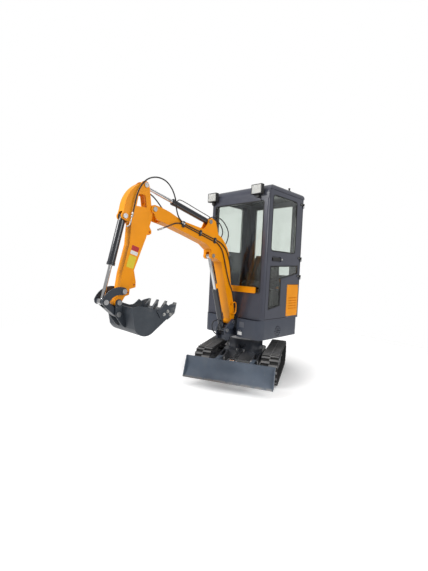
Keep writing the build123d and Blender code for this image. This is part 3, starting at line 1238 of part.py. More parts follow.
with BuildPart() as link:
    with BuildSketch(side(0)):
        discs((LINK_PIN, LINK_BOSS), (BUCKET_EAR, LINK_BOSS))
        make_hull()
    extrude(amount=RAM_HALF + 3 * SIDE_GAP + EAR_PLATE, both=True)
    with BuildSketch(side(0)):
        discs((LINK_PIN, LINK_BOSS))
    extrude(amount=ROCKER_IN - SIDE_GAP, both=True)
    with BuildSketch(side(0)):
        discs((BUCKET_EAR, LINK_BOSS))
    extrude(amount=ARM_HALF, both=True)
    with BuildSketch(side(0)):
        discs((LINK_PIN, LINK_ROOM))
        outline((LINK_PIN[0] - 40, LINK_PIN[1] - 34), (LINK_PIN[0] + 60, LINK_PIN[1] - 34),
                (LINK_PIN[0] + 60, LINK_PIN[1] + 60), (LINK_PIN[0] - 60, LINK_PIN[1] + 60))
    extrude(amount=RAM_HALF + 3 * SIDE_GAP, both=True, mode=Mode.SUBTRACT)
    with BuildSketch(side(0)):
        discs((LINK_PIN, PIN + PIN_GAP))
    extrude(amount=ROCKER_IN, both=True, mode=Mode.SUBTRACT)
link.part.label = "link"
export_step(link.part, "parts/link.step")

# Bucket: a curved shell between side plates, ears behind, side cutters and four teeth.
with BuildPart() as bucket:
    for out, inner in ((BUCKET_HALF, False), (BUCKET_HALF - BUCKET_PLATE, True)):
        shrink = BUCKET_PLATE if inner else 0
        with BuildSketch(side(0)):
            with BuildLine():
                heel = Line((1854 - shrink, 877 + shrink * 9), (1816 - shrink, 690))
                round_bottom = ThreePointArc(heel @ 1, (1738, 629 + shrink), (1630 + shrink / 2, 648 + shrink))
                Polyline(
                    round_bottom @ 1, (1403 + shrink / 2, 811 + shrink), (1403 - shrink * 4, 860),
                    (1616, 850 + shrink * 9), (1691, 874 + shrink * 9), (1781, 889 + shrink * 9), heel @ 0,
                )
            make_face()
        extrude(amount=out, both=True, mode=Mode.SUBTRACT if inner else Mode.ADD)
    for hand in (1, -1):
        with BuildSketch(side(hand * (BUCKET_HALF + CUTTER / 2))):
            outline(
                (1600, 835), (1545, 862), (1500, 900), (1472, 880), (1440, 893), (1376, 905),
                (1398, 808), (1470, 757), (1560, 775),
            )
            bores(((1480, 830), 7), ((1520, 805), 7), ((1450, 800), 7))
        extrude(amount=CUTTER / 2, both=True)
        with BuildSketch(side(hand * BUCKET_EAR_MID)):
            discs((BUCKET_PIVOT, BUCKET_BOSS), (BUCKET_EAR, BUCKET_BOSS))
            make_hull()
            outline(
                (BUCKET_PIVOT[0] - 20, BUCKET_PIVOT[1] - 25), (BUCKET_EAR[0] + 20, BUCKET_EAR[1] - 24),
                (1842, 700), (1812, 684), (1840, 860),
            )
            bores((BUCKET_PIVOT, PIN + PIN_GAP), (BUCKET_EAR, PIN + PIN_GAP))
        extrude(amount=EAR_PLATE / 2, both=True)
    for number in range(TOOTH_COUNT):
        spread = (number / (TOOTH_COUNT - 1) - 0.5) * 2 * (BUCKET_HALF - TOOTH_HALF)
        with BuildSketch(side(spread)):
            outline((1470, 752), (1398, 806), (1376, 905), (1384, 907), (1430, 850), (1462, 790))
        extrude(amount=TOOTH_HALF, both=True)
    with BuildSketch(side(0)):
        outline((1500, 742), (1403, 811), (1396, 835), (1410, 838), (1424, 818), (1512, 756))
    extrude(amount=BUCKET_HALF, both=True)
bucket.part.label = "bucket"
export_step(bucket.part, "parts/bucket.step")

with BuildPart() as bucket_pins:
    pin(BUCKET_PIVOT, BUCKET_EAR_MID + EAR_PLATE / 2)
    pin_stubs(BUCKET_EAR, FORK_IN + SIDE_GAP, BUCKET_EAR_MID + EAR_PLATE / 2)
bucket_pins.part.label = "bucket_pins"
export_step(bucket_pins.part, "parts/bucket_pins.step")
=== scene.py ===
from math import cos, pi, radians, sin
import bpy
import bmesh
from mathutils import Matrix, Vector


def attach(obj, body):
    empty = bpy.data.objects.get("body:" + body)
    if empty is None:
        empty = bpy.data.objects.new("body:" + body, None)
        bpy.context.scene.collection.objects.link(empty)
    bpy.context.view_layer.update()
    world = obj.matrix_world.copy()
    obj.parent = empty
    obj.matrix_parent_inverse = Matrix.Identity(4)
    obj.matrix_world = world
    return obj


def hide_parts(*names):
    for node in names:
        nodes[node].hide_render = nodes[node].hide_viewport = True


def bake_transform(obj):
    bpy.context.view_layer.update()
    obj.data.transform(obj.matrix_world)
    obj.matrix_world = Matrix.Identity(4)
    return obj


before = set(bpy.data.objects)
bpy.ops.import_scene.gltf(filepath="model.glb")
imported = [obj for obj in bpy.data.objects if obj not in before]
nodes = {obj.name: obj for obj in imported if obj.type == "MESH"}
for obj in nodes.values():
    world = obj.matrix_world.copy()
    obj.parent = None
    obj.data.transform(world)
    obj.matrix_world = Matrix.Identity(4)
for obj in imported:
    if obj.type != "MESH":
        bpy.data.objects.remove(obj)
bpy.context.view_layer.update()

# Camera, at head height off the machine's left front corner. It leans a little, and its lens is
# wide, so the blade and the bucket come towards it.
EYE = Vector((2.5023, -3.3418, 1.2334))
YAW, PITCH, ROLL = radians(46.15), radians(-1.394), radians(2.722)
ahead = Vector((-sin(YAW) * cos(PITCH), cos(YAW) * cos(PITCH), sin(PITCH)))
level = Vector((cos(YAW), sin(YAW), 0))
upright = level.cross(ahead)
right = level * cos(ROLL) + upright * sin(ROLL)
up = upright * cos(ROLL) - level * sin(ROLL)


def stand(name, data):
    """Puts a new object in the scene, at the origin."""
    made = bpy.data.objects.new(name, data)
    bpy.context.collection.objects.link(made)
    return made


camera = stand("camera", bpy.data.cameras.new("camera"))
camera.matrix_world = Matrix((
    (right.x, up.x, -ahead.x, EYE.x),
    (right.y, up.y, -ahead.y, EYE.y),
    (right.z, up.z, -ahead.z, EYE.z),
    (0, 0, 0, 1),
))
camera.data.sensor_width = 36
camera.data.lens = 20.46
camera.data.shift_x = 0.0321
camera.data.shift_y = -0.0165
bpy.context.scene.camera = camera
bpy.context.scene.view_settings.view_transform = "Standard"


# Ground and light: a pale floor that fades into white, a large soft key from the front left, a
# wide fill from the door side and a soft light from above.
class Wire:
    """An output of a shader tree. Arithmetic on it adds Math nodes to the tree."""

    def __init__(self, finish, socket):
        self.finish = finish
        self.socket = socket

    def maths(self, operation, left, right):
        return self.finish.node("ShaderNodeMath", {"operation": operation}, {0: left, 1: right})

    def __add__(self, other):
        return self.maths("ADD", self, other)

    def __radd__(self, other):
        return self.maths("ADD", other, self)

    def __sub__(self, other):
        return self.maths("SUBTRACT", self, other)

    def __rsub__(self, other):
        return self.maths("SUBTRACT", other, self)

    def __mul__(self, other):
        return self.maths("MULTIPLY", self, other)

    def __rmul__(self, other):
        return self.maths("MULTIPLY", other, self)

    def between(self, low, high):
        """0 where this is at low, 1 where it is at high, smooth in between."""
        sockets = {0: self, 1: low, 2: high, 3: 0.0, 4: 1.0}
        return self.finish.node("ShaderNodeMapRange", {"interpolation_type": "SMOOTHSTEP"}, sockets)


class Finish:
    """A procedural finish on the Principled shader, whose even settings are given by name."""

    def __init__(self, name, even):
        self.material = bpy.data.materials.new(name)
        self.material.use_nodes = True
        self.tree = self.material.node_tree
        self.shader = self.tree.nodes["Principled BSDF"]
        for socket, value in even.items():
            self.shader.inputs[socket].default_value = value
        self.place = self.node("ShaderNodeTexCoord", {}, {}, "Object")

    def node(self, kind, settings, sockets, output=0):
        """Adds a node: its settings first, then the values or links of its sockets."""
        made = self.tree.nodes.new(kind)
        for key, value in settings.items():
            setattr(made, key, value)
        for key, value in sockets.items():
            if isinstance(value, Wire):
                self.tree.links.new(value.socket, made.inputs[key])
            else:
                made.inputs[key].default_value = value
        return Wire(self, made.outputs[output])

    def noise(self, scale, detail=4.0, stretch=(1, 1, 1), rough=0.5):
        """Noise on the object's own place, finer along an axis whose stretch is larger."""
        place = self.node("ShaderNodeMapping", {}, {"Vector": self.place, "Scale": stretch})
        sockets = {"Vector": place, "Scale": scale, "Detail": detail, "Roughness": rough}
        return self.node("ShaderNodeTexNoise", {}, sockets)

    def axis(self, letter):
        return self.node("ShaderNodeSeparateXYZ", {}, {0: self.place}, letter)

    def mix(self, share, under, over):
        """The colour under, with as much of the colour over as share says."""
        return self.node("ShaderNodeMix", {"data_type": "RGBA"}, {0: share, 6: under, 7: over}, 2)

    def feed(self, socket, value):
        self.tree.links.new(value.socket, self.shader.inputs[socket])

    def relief(self, height, strength, depth):
        """Bumps of the finish, depth metres high at full strength."""
        sockets = {"Strength": strength, "Distance": depth, "Height": height}
        self.feed("Normal", self.node("ShaderNodeBump", {}, sockets))


GROUND = 9.0
CORNERS = 64
FADE_FROM, FADE_TO = 2.0, 4.5
floor_mesh = bpy.data.meshes.new("ground")
turns = [2 * pi * number / CORNERS for number in range(CORNERS)]
rim = [(GROUND * cos(turn), GROUND * sin(turn), 0) for turn in turns]
floor_mesh.from_pydata(rim, [], [tuple(range(CORNERS))])
ground = stand("ground", floor_mesh)
pale_even = {"Roughness": 0.9, "Specular IOR Level": 0.1, "Base Color": (0.92, 0.92, 0.92, 1)}
pale = Finish("pale_ground", pale_even)
reach = pale.node("ShaderNodeVectorMath", {"operation": "LENGTH"}, {0: pale.place}, "Value")
clear = pale.node("ShaderNodeBsdfTransparent", {}, {})
camera_ray = pale.node("ShaderNodeLightPath", {}, {}, "Is Camera Ray")
glow_strength = camera_ray * reach.between(0.35, 1.2) * 0.42
glow = pale.node("ShaderNodeEmission", {}, {"Color": (1, 1, 1, 1), "Strength": glow_strength})
lit = pale.node("ShaderNodeAddShader", {}, {0: Wire(pale, pale.shader.outputs[0]), 1: glow})
faded = pale.node("ShaderNodeMixShader", {}, {0: reach.between(FADE_FROM, FADE_TO), 1: lit, 2: clear})
pale.tree.links.new(faded.socket, pale.tree.nodes["Material Output"].inputs["Surface"])
floor_mesh.materials.append(pale.material)

world = bpy.data.worlds.new("white_room")
bpy.context.scene.world = world
world.use_nodes = True
sky = world.node_tree
rays = sky.nodes.new("ShaderNodeLightPath")
seen = sky.nodes.new("ShaderNodeMath")
seen.operation = "MAXIMUM"
sky.links.new(rays.outputs["Is Camera Ray"], seen.inputs[0])
sky.links.new(rays.outputs["Is Transmission Ray"], seen.inputs[1])
share = sky.nodes.new("ShaderNodeMapRange")
share.inputs["To Min"].default_value = 0.4
share.inputs["To Max"].default_value = 1.0
sky.links.new(seen.outputs[0], share.inputs["Value"])
sky.nodes["Background"].inputs["Color"].default_value = (1, 1, 1, 1)
sky.links.new(share.outputs[0], sky.nodes["Background"].inputs["Strength"])


def lamp(name, spot, aim, size, power):
    """A square soft light that points at aim."""
    light = bpy.data.lights.new(name, "AREA")
    light.size = size
    light.energy = power
    holder = stand(name, light)
    holder.location = spot
    holder.rotation_mode = "QUATERNION"
    holder.rotation_quaternion = (Vector(aim) - Vector(spot)).to_track_quat("-Z", "Y")


lamp("key", (-1.5, -5.5, 4.5), (0, -0.6, 1.1), 3.0, 270)
lamp("fill", (5.5, -0.5, 3.2), (0, 0, 1.1), 3.0, 115)
lamp("above", (0.5, 0.5, 6.0), (0, -0.3, 0), 4.0, 95)


# Rubber tracks: black moulded belts with fine moulding grain and patches of dried dust, more of it on their
# lugs.
# The lugs' outer faces carry a painted highlight in pale grey, which leaves the grooves darker.
def give(finish, *names):
    """Puts a finish on CAD nodes."""
    for name in names:
        mesh = nodes[name].data
        mesh.materials.clear()
        mesh.materials.append(finish.material)


DUST = (0.23, 0.205, 0.175, 1)
PARK_TURN = radians(26)
BELT_MIDDLE, BELT_HALF, BELT_HEIGHT = 0.0465, 0.4275, 0.16
LUG_SIDE, LUG_FACE = 0.155, 0.159

tread = Finish("track_rubber", {"Specular IOR Level": 0.35})
forward = tread.axis("X") * sin(PARK_TURN) - tread.axis("Y") * cos(PARK_TURN)
along = forward - BELT_MIDDLE
past = along.maths("ABSOLUTE", along, 0.0) - BELT_HALF
bend = past.maths("MAXIMUM", past, 0.0)
rise = tread.axis("Z") - BELT_HEIGHT
lug_top = (bend * bend + rise * rise).between(LUG_SIDE ** 2, LUG_FACE ** 2)
patches = tread.noise(9, 6.0)
grain = tread.noise(260, 3.0)
dusty = (patches * 0.7 + grain * 0.3).between(0.3, 0.66)
# Painted highlight: the lugs' outer faces are mixed towards pale grey, and the grooves keep the black rubber.
lug_highlight_rubber = tread.mix(lug_top * 0.85, (0.014, 0.014, 0.015, 1), (0.13, 0.132, 0.14, 1))
tread.feed("Base Color", tread.mix(dusty * (0.1 + lug_top * 0.5), lug_highlight_rubber, (0.24, 0.232, 0.222, 1)))
tread.feed("Roughness", 0.62 + dusty * 0.3)
tread.relief(patches * 0.3 + grain, 0.35, 0.002)
give(tread, "track_left", "track_right")


# Running gear and frames: steel weldments and castings in dark enamel. The enamel has a faint
# orange peel, dust that gathers low down, and small chips that show the primer.
def enamel(name, colour, low_dust=0.5, sheen=0.32, chips=0.5, coat=0.25, gloss=0.5):
    """Satin machine enamel. low_dust is how much dust lies near the ground, chips how worn it is."""
    paint = Finish(name, {"Specular IOR Level": gloss, "Coat Roughness": 0.12, "Coat Weight": coat})
    cloud = paint.noise(5, 6.0)
    speck = paint.noise(95, 4.0)
    height = paint.axis("Z")
    low = 1.0 - height.between(0.0, 0.75)
    dust = (cloud * 0.75 + speck * 0.25 + low * 0.25).between(0.5, 0.86) * (low * low_dust + 0.02)
    chipped = speck.between(0.735, 0.75) * cloud.between(0.5, 0.62) * chips
    deep = tuple(part * 0.9 for part in colour) + (1,)
    tinted = paint.mix(cloud.between(0.3, 0.7), deep, colour + (1,))
    dusted = paint.mix(dust, tinted, DUST)
    paint.feed("Base Color", paint.mix(chipped, dusted, (0.2, 0.2, 0.2, 1)))
    paint.feed("Roughness", sheen + dust * 0.55 + (cloud - 0.5) * 0.12 + chipped * 0.2)
    paint.relief(paint.noise(420, 2.0) - chipped * 2.0, 0.12, 0.0006)
    return paint


frame_enamel = enamel("frame_enamel", (0.04, 0.048, 0.066), 0.3)
give(frame_enamel, "track_frame", "track_wheels")


# Bolts of the running gear: hexagon heads on washers, zinc plated, in rings on the sprockets and
# the travel motors' covers, and one in the middle of each idler.
class Plan:
    """A Geometry Nodes tree with named inputs, which ends in plain faces with one material."""

    def __init__(self, name, inputs):
        self.tree = bpy.data.node_groups.new(name, "GeometryNodeTree")
        face = self.tree.interface
        face.new_socket(name="Geometry", in_out="INPUT", socket_type="NodeSocketGeometry")
        for label, kind in inputs.items():
            face.new_socket(name=label, in_out="INPUT", socket_type="NodeSocket" + kind)
        face.new_socket(name="Finish", in_out="INPUT", socket_type="NodeSocketMaterial")
        face.new_socket(name="Geometry", in_out="OUTPUT", socket_type="NodeSocketGeometry")
        self.given = self.tree.nodes.new("NodeGroupInput")
        self.result = self.tree.nodes.new("NodeGroupOutput")

    def step(self, kind, settings, sockets, output=0):
        """Adds a node; a socket value may be another node's output or the name of an input."""
        made = self.tree.nodes.new(kind)
        for key, value in settings.items():
            setattr(made, key, value)
        for key, value in sockets.items():
            if isinstance(value, str):
                value = self.given.outputs[value]
            if isinstance(value, bpy.types.NodeSocket):
                self.tree.links.new(value, made.inputs[key])
            else:
                made.inputs[key].default_value = value
        return made.outputs[output]

    def end(self, geometry):
        real = self.step("GeometryNodeRealizeInstances", {}, {0: geometry})
        coated = self.step("GeometryNodeSetMaterial", {}, {"Geometry": real, "Material": "Finish"})
        self.tree.links.new(coated, self.result.inputs[0])

    def make(self, name, mesh, finish, body, values):
        """Runs the tree on a mesh and puts the faces it gives on a body."""
        seed = stand(name + "_seed", mesh)
        modifier = seed.modifiers.new("plan", "NODES")
        modifier.node_group = self.tree
        for item in self.tree.interface.items_tree:
            if item.in_out == "INPUT" and item.name in values:
                modifier[item.identifier] = values[item.name]
            if item.in_out == "INPUT" and item.name == "Finish":
                modifier[item.identifier] = finish.material
        plain = plain_mesh(seed)
        bpy.data.objects.remove(seed)
        return settle(name, plain, finish, body)


def plain_mesh(piece):
    """The mesh that an object's modifiers or its curve give."""
    return bpy.data.meshes.new_from_object(piece.evaluated_get(bpy.context.evaluated_depsgraph_get()))


def settle(name, mesh, finish, body):
    """Makes a mesh a piece with one finish that rides on a body."""
    piece = stand(name, mesh)
    mesh.name = name
    mesh.materials.clear()
    mesh.materials.append(finish.material)
    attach(piece, body)
    return piece


def marks(spots):
    """Loose points, each with the way it faces, for a plan to put things on."""
    mesh = bpy.data.meshes.new("marks")
    mesh.from_pydata([spot for spot, way in spots], [], [])
    facing = mesh.attributes.new("facing", "FLOAT_VECTOR", "POINT")
    for number, (spot, way) in enumerate(spots):
        facing.data[number].vector = way
    return mesh


bolt_plan = Plan("bolt_heads", {"Head": "Float", "Rise": "Float", "Washer": "Float"})
hexagon = bolt_plan.step(
    "GeometryNodeMeshCylinder", {}, {"Vertices": 6, "Side Segments": 1, "Radius": "Head", "Depth": "Rise"})
raised = bolt_plan.step("ShaderNodeMath", {"operation": "MULTIPLY"}, {0: "Rise", 1: 0.7})
lift = bolt_plan.step("ShaderNodeCombineXYZ", {}, {"Z": raised})
lifted = bolt_plan.step("GeometryNodeTransform", {}, {"Geometry": hexagon, "Translation": lift})
thin = bolt_plan.step("ShaderNodeMath", {"operation": "MULTIPLY"}, {0: "Rise", 1: 0.5})
washer = bolt_plan.step(
    "GeometryNodeMeshCylinder", {}, {"Vertices": 20, "Side Segments": 1, "Radius": "Washer", "Depth": thin})
bolt = bolt_plan.step("GeometryNodeJoinGeometry", {}, {})
for half in (lifted, washer):
    bolt_plan.tree.links.new(half, bolt.node.inputs[0])
facing = bolt_plan.step("GeometryNodeInputNamedAttribute", {"data_type": "FLOAT_VECTOR"}, {"Name": ""})
facing.node.inputs["Name"].default_value = "facing"
turned = bolt_plan.step("FunctionNodeAlignEulerToVector", {"axis": "Z"}, {"Vector": facing})
bolt_plan.end(bolt_plan.step(
    "GeometryNodeInstanceOnPoints", {}, {"Points": "Geometry", "Instance": bolt, "Rotation": turned}))

zinc = Finish("zinc_plate", {"Metallic": 1.0, "Specular IOR Level": 0.5})
wiped = zinc.noise(60, 4.0)
zinc.feed("Base Color", zinc.mix(wiped, (0.42, 0.42, 0.4, 1), (0.62, 0.62, 0.61, 1)))
zinc.feed("Roughness", 0.28 + wiped * 0.25)


def bolts(name, spots, head, body):
    """Bolt heads at (point, facing) spots; head is the radius over the corners."""
    sizes = {"Head": head, "Rise": head * 0.75, "Washer": head * 1.35}
    bolt_plan.make(name, marks(spots), zinc, body, sizes)


PARK = Matrix.Rotation(PARK_TURN, 3, "Z")


def parked(x, forward, height):
    """A place on the undercarriage, which stands turned under the cab."""
    return PARK @ Vector((x, -forward, height))


SPROCKET = -0.381
IDLER = 0.474
wheel_bolts = []
for hand in (1, -1):
    out = PARK @ Vector((hand, 0, 0))
    for wheel, ring, count, face in ((SPROCKET, 0.086, 9, 0.4025), (SPROCKET, 0.044, 6, 0.4165),
                                     (IDLER, 0.021, 5, 0.4165)):
        for number in range(count):
            turn = 2 * pi * number / count
            spot = parked(hand * face, wheel + ring * cos(turn), BELT_HEIGHT + ring * sin(turn))
            wheel_bolts.append((spot, out))
bolts("wheel_bolts", wheel_bolts, 0.0075, "undercarriage")

# Slewing ring and pins: turned and ground steel with fine rings from the lathe, and the pressed
# hinges of the door and the hood, which are bright in the same way.
bright = Finish("turned_steel", {"Metallic": 1.0, "Specular IOR Level": 0.5})
rings = bright.noise(30, 5.0)
scuffs = bright.noise(120, 3.0, (1, 1, 6))
bright.feed("Base Color", bright.mix(rings, (0.36, 0.36, 0.37, 1), (0.66, 0.66, 0.66, 1)))
bright.feed("Roughness", 0.2 + scuffs * 0.3)
bright.relief(scuffs, 0.08, 0.0005)
give(bright, "frame_pins", "blade_pins", "post_pins", "boom_pins", "arm_pins", "rocker_pins", "bucket_pins",
     "slew_race_lower", "slew_race_upper", "frame_hinges")

# Blade: a rolled plate in slate enamel, rubbed bright along its cutting edge and scratched where
# the soil runs up it.
BLADE_EDGE = 0.096
blade_enamel = Finish("blade_enamel", {"Specular IOR Level": 0.5, "Coat Weight": 0.15, "Coat Roughness": 0.2})
height = blade_enamel.axis("Z")
streaks = blade_enamel.noise(26, 5.0, (1, 1, 0.12))
cloud = blade_enamel.noise(4, 5.0)
worn = (1.0 - height.between(BLADE_EDGE, BLADE_EDGE + 0.016)) * streaks.between(0.3, 0.55)
scratch = streaks.between(0.68, 0.72) * (1.0 - height.between(0.12, 0.26)) * 0.5
steel = worn + scratch
shade = blade_enamel.mix(cloud.between(0.3, 0.7), (0.068, 0.09, 0.124, 1), (0.105, 0.134, 0.178, 1))
dusted = blade_enamel.mix((cloud * 0.4 + streaks * 0.6).between(0.5, 0.8) * 0.15, shade, DUST)
blade_enamel.feed("Base Color", blade_enamel.mix(steel, dusted, (0.25, 0.25, 0.25, 1)))
blade_enamel.feed("Metallic", steel * 0.9)
blade_enamel.feed("Roughness", 0.36 + cloud * 0.16 - steel * 0.08)
blade_enamel.relief(blade_enamel.noise(380, 2.0) - steel * 2.0, 0.12, 0.0006)
give(blade_enamel, "blade")

# Lower body: a pressed steel skirt in slate enamel with the cast counterweight behind it. On its
# front are a blank white label, a small plain plate over it and the two screws that hold it.
SLATE = (0.052, 0.062, 0.088)
slate = enamel("slate_enamel", SLATE, 0.45)
give(slate, "lower_body", "platform")

casting = enamel("cast_enamel", SLATE, 0.5, 0.42, 0.7)
casting.relief(casting.noise(150, 4.0, rough=0.7), 0.5, 0.003)
give(casting, "counterweight")


def as_mesh(name, shape):
    """Turns a bmesh into a mesh whose faces point outwards."""
    bmesh.ops.recalc_face_normals(shape, faces=shape.faces)
    data = bpy.data.meshes.new(name)
    shape.to_mesh(data)
    shape.free()
    return data


def slab(name, middle, width, height, thick, corner, across, along, finish, body):
    """Thin plate with round corners and softened edges. across and along are the directions of its
    width and height, and middle is the middle of its back."""
    wide = Vector(across).normalized()
    tall = Vector(along).normalized()
    out = wide.cross(tall)
    shape = bmesh.new()
    ring = []
    for sx, sy, start in ((1, 1, 0), (-1, 1, 90), (-1, -1, 180), (1, -1, 270)):
        for step in range(5):
            turn = radians(start + step * 22.5)
            x = sx * (width / 2 - corner) + corner * cos(turn)
            y = sy * (height / 2 - corner) + corner * sin(turn)
            ring.append(shape.verts.new(Vector(middle) + wide * x + tall * y))
    base = shape.faces.new(ring)
    top = bmesh.ops.extrude_face_region(shape, geom=[base])["geom"]
    lifted_points = [part for part in top if isinstance(part, bmesh.types.BMVert)]
    bmesh.ops.translate(shape, vec=out * thick, verts=lifted_points)
    edges = [edge for part in top if isinstance(part, bmesh.types.BMFace) for edge in part.edges]
    bmesh.ops.bevel(shape, geom=edges, offset=thick * 0.3, segments=2, affect="EDGES")
    return settle(name, as_mesh(name, shape), finish, body)


label_film = Finish("label_film", {"Specular IOR Level": 0.5, "Coat Weight": 0.4})
scuff = label_film.noise(40, 5.0)
scuffed = scuff.between(0.5, 0.9)
label_film.feed("Base Color", label_film.mix(scuffed, (0.8, 0.8, 0.79, 1), (0.55, 0.54, 0.5, 1)))
label_film.feed("Roughness", 0.3 + scuff * 0.2)
BODY_FACE = -0.3352
slab("body_label", (0.157, BODY_FACE, 0.500), 0.062, 0.040, 0.0008, 0.004, (1, 0, 0), (0, 0, 1),
     label_film, "upper")
plate_film = Finish("anodised_plate", {"Metallic": 0.6, "Specular IOR Level": 0.5})
brushed = plate_film.noise(90, 3.0, (1, 1, 14))
plate_film.feed("Base Color", plate_film.mix(brushed, (0.13, 0.14, 0.17, 1), (0.2, 0.21, 0.24, 1)))
plate_film.feed("Roughness", 0.35 + brushed * 0.2)
slab("body_plate", (0.180, BODY_FACE, 0.603), 0.070, 0.062, 0.0015, 0.006, (1, 0, 0), (0, 0, 1),
     plate_film, "upper")
bolts("body_screws", [((x, -0.336, 0.534), (0, -1, 0)) for x in (0.146, 0.168)], 0.0042, "upper")

# Cab: folded and welded steel posts and panels in satin slate enamel, a pressed roof, the door and
# the fixed panel opposite. The engine hood, side covers and the bar under the windscreen are orange.
cab_enamel = enamel("cab_enamel", (0.062, 0.066, 0.09), 0.1, 0.24, 0.15, 0.45)
give(cab_enamel, "cab_frame", "cab_roof", "door", "front_panel", "right_panel")
orange = enamel("orange_enamel", (1.0, 0.35, 0.0), 0.05, 0.34, 0.35, 0.08, 0.3)
give(orange, "front_sill", "side_covers", "engine_hood", "boom", "arm")

# Window seals: extruded rubber sections pressed round the panes, finely grained, with the pale
# waxy bloom that rubber gets outdoors.
rubber = Finish("seal_rubber", {"Specular IOR Level": 0.4})
bloom = rubber.noise(24, 5.0)
bloomed = bloom.between(0.5, 0.8)
rubber.feed("Base Color", rubber.mix(bloomed, (0.011, 0.011, 0.012, 1), (0.035, 0.036, 0.037, 1)))
rubber.feed("Roughness", 0.42 + bloom * 0.3)
rubber.relief(rubber.noise(600, 2.0), 0.2, 0.0004)
give(rubber, "cab_seals", "door_seals")

# Windows: flat toughened glass with a faint green tint. A thin film of dust lies on it in patches
# and makes it a little rougher there.
pane = Finish("cab_pane", {"Transmission Weight": 1.0, "IOR": 1.4, "Specular IOR Level": 0.5})
film = pane.noise(3, 6.0)
pane.feed("Base Color", pane.mix(film.between(0.4, 0.8), (0.82, 0.86, 0.83, 1), (0.76, 0.81, 0.77, 1)))
pane.feed("Roughness", 0.015 + film.between(0.62, 0.9) * 0.05)
give(pane, "cab_glass", "door_glass")

# Moulded plastic: the box under the seat, the lamps, the levers and the door's pull, with a fine
# leather grain from the mould. The cab's floor and the engine behind it are dark enamelled steel.
moulded = Finish("moulded_plastic", {"Specular IOR Level": 0.45})
pebble = moulded.node("ShaderNodeTexVoronoi", {}, {"Vector": moulded.place, "Scale": 900.0})
fade = moulded.noise(7, 4.0)
moulded.feed("Base Color", moulded.mix(fade, (0.016, 0.016, 0.017, 1), (0.03, 0.03, 0.031, 1)))
moulded.feed("Roughness", 0.45 + fade * 0.15)
moulded.relief(pebble, 0.25, 0.0004)
give(moulded, "engine_box", "lamps", "controls", "door_fittings")
steel_floor = enamel("floor_enamel", (0.028, 0.031, 0.04), 0.2, 0.5, 0.8, 0.0)
give(steel_floor, "cab_floor", "engine")

# Work lamps: prismatic glass whose pale grey colour is a painted reflection of a bright reflector behind it,
# with painted glints along its prism bands; they give no light of their own. A rubber lead runs from each
# lamp's foot down into the cab's front.
lens = Finish("lamp_lens", {"Transmission Weight": 0.25, "Specular IOR Level": 0.6, "Coat Weight": 0.6})
flutes = {"Vector": lens.place, "Scale": 38.0, "Distortion": 0.0}
flute = lens.node("ShaderNodeTexWave", {"bands_direction": "X"}, flutes)
cross = lens.node("ShaderNodeTexWave", {"bands_direction": "Z"}, flutes)
prism = flute * cross
# Painted reflection and glints: the pale base colour and its prism bands stand in for the reflector's shine.
lens.feed("Base Color", lens.mix(prism, (0.62, 0.63, 0.6, 1), (0.92, 0.92, 0.88, 1)))
lens.feed("Roughness", 0.12 + prism * 0.1)
lens.relief(prism, 0.5, 0.002)
give(lens, "lamp_lenses")


def smooth_line(name, route, radius):
    """NURBS curve that follows the route's points, with a round section."""
    data = bpy.data.curves.new(name, "CURVE")
    data.dimensions = "3D"
    data.resolution_u = 10
    spline = data.splines.new("NURBS")
    spline.points.add(len(route) - 1)
    for point, place in zip(spline.points, route):
        point.co = (*place, 1)
    spline.order_u = 3
    spline.use_endpoint_u = True
    data.bevel_depth = radius
    data.bevel_resolution = 3
    data.use_fill_caps = True
    return data


def swept(name, route, radius):
    """The plain mesh of a round line along a route."""
    holder = stand(name, smooth_line(name, route, radius))
    mesh = plain_mesh(holder)
    bpy.data.objects.remove(holder)
    for face in mesh.polygons:
        face.use_smooth = True
    return mesh


def tube(name, route, radius, finish, body):
    """Bent pipe or clipped hose that one body carries."""
    return settle(name, swept(name, route, radius), finish, body)


LEAD_RADIUS = 0.003
tube("lamp_lead_right", [
    (-0.393, -0.296, 2.095), (-0.393, -0.289, 2.075), (-0.40, -0.289, 2.06), (-0.405, -0.285, 2.03),
], LEAD_RADIUS, rubber, "upper")
tube("lamp_lead_left", [
    (0.293, -0.296, 2.108), (0.296, -0.289, 2.085), (0.31, -0.2885, 2.075), (0.325, -0.288, 2.05),
    (0.333, -0.2875, 2.02), (0.36, -0.286, 2.0),
], LEAD_RADIUS, rubber, "upper")


# Vent shade disc and roof stub: a thin black disc behind the round vent in the skirt is painted shade, which
# darkens the vent's holes. On the roof a rubber plug on a short stem closes the hole where a beacon would
# stand.
def spun(name, profile, base, way, finish, body, steps=28):
    """Turned piece: (radius, distance) pairs spun about the line from base along way."""
    axis = Vector(way).normalized()
    out = axis.orthogonal().normalized()
    shape = bmesh.new()
    points = [shape.verts.new(Vector(base) + axis * far + out * radius) for radius, far in profile]
    runs = [shape.edges.new(pair) for pair in zip(points, points[1:])]
    bmesh.ops.spin(shape, geom=points + runs, cent=Vector(base), axis=axis, angle=2 * pi, steps=steps)
    bmesh.ops.remove_doubles(shape, verts=shape.verts, dist=1e-6)
    for face in shape.faces:
        face.smooth = True
    return settle(name, as_mesh(name, shape), finish, body)


# Painted shade: a black disc behind the vent's holes darkens them as the shaded inside would.
spun("vent_shade_disc", [(0, 0), (0.070, 0), (0.070, 0.002), (0, 0.002)],
     (0.4175, 0.035, 0.537), (-1, 0, 0), rubber, "upper", 20)
spun("roof_stub", [
    (0, 0), (0.020, 0), (0.020, 0.003), (0.008, 0.005), (0.007, 0.020), (0.013, 0.023), (0.014, 0.030),
    (0.009, 0.036), (0, 0.037),
], (0.380, 0.213, 2.2265), (0, 0, 1), rubber, "upper")

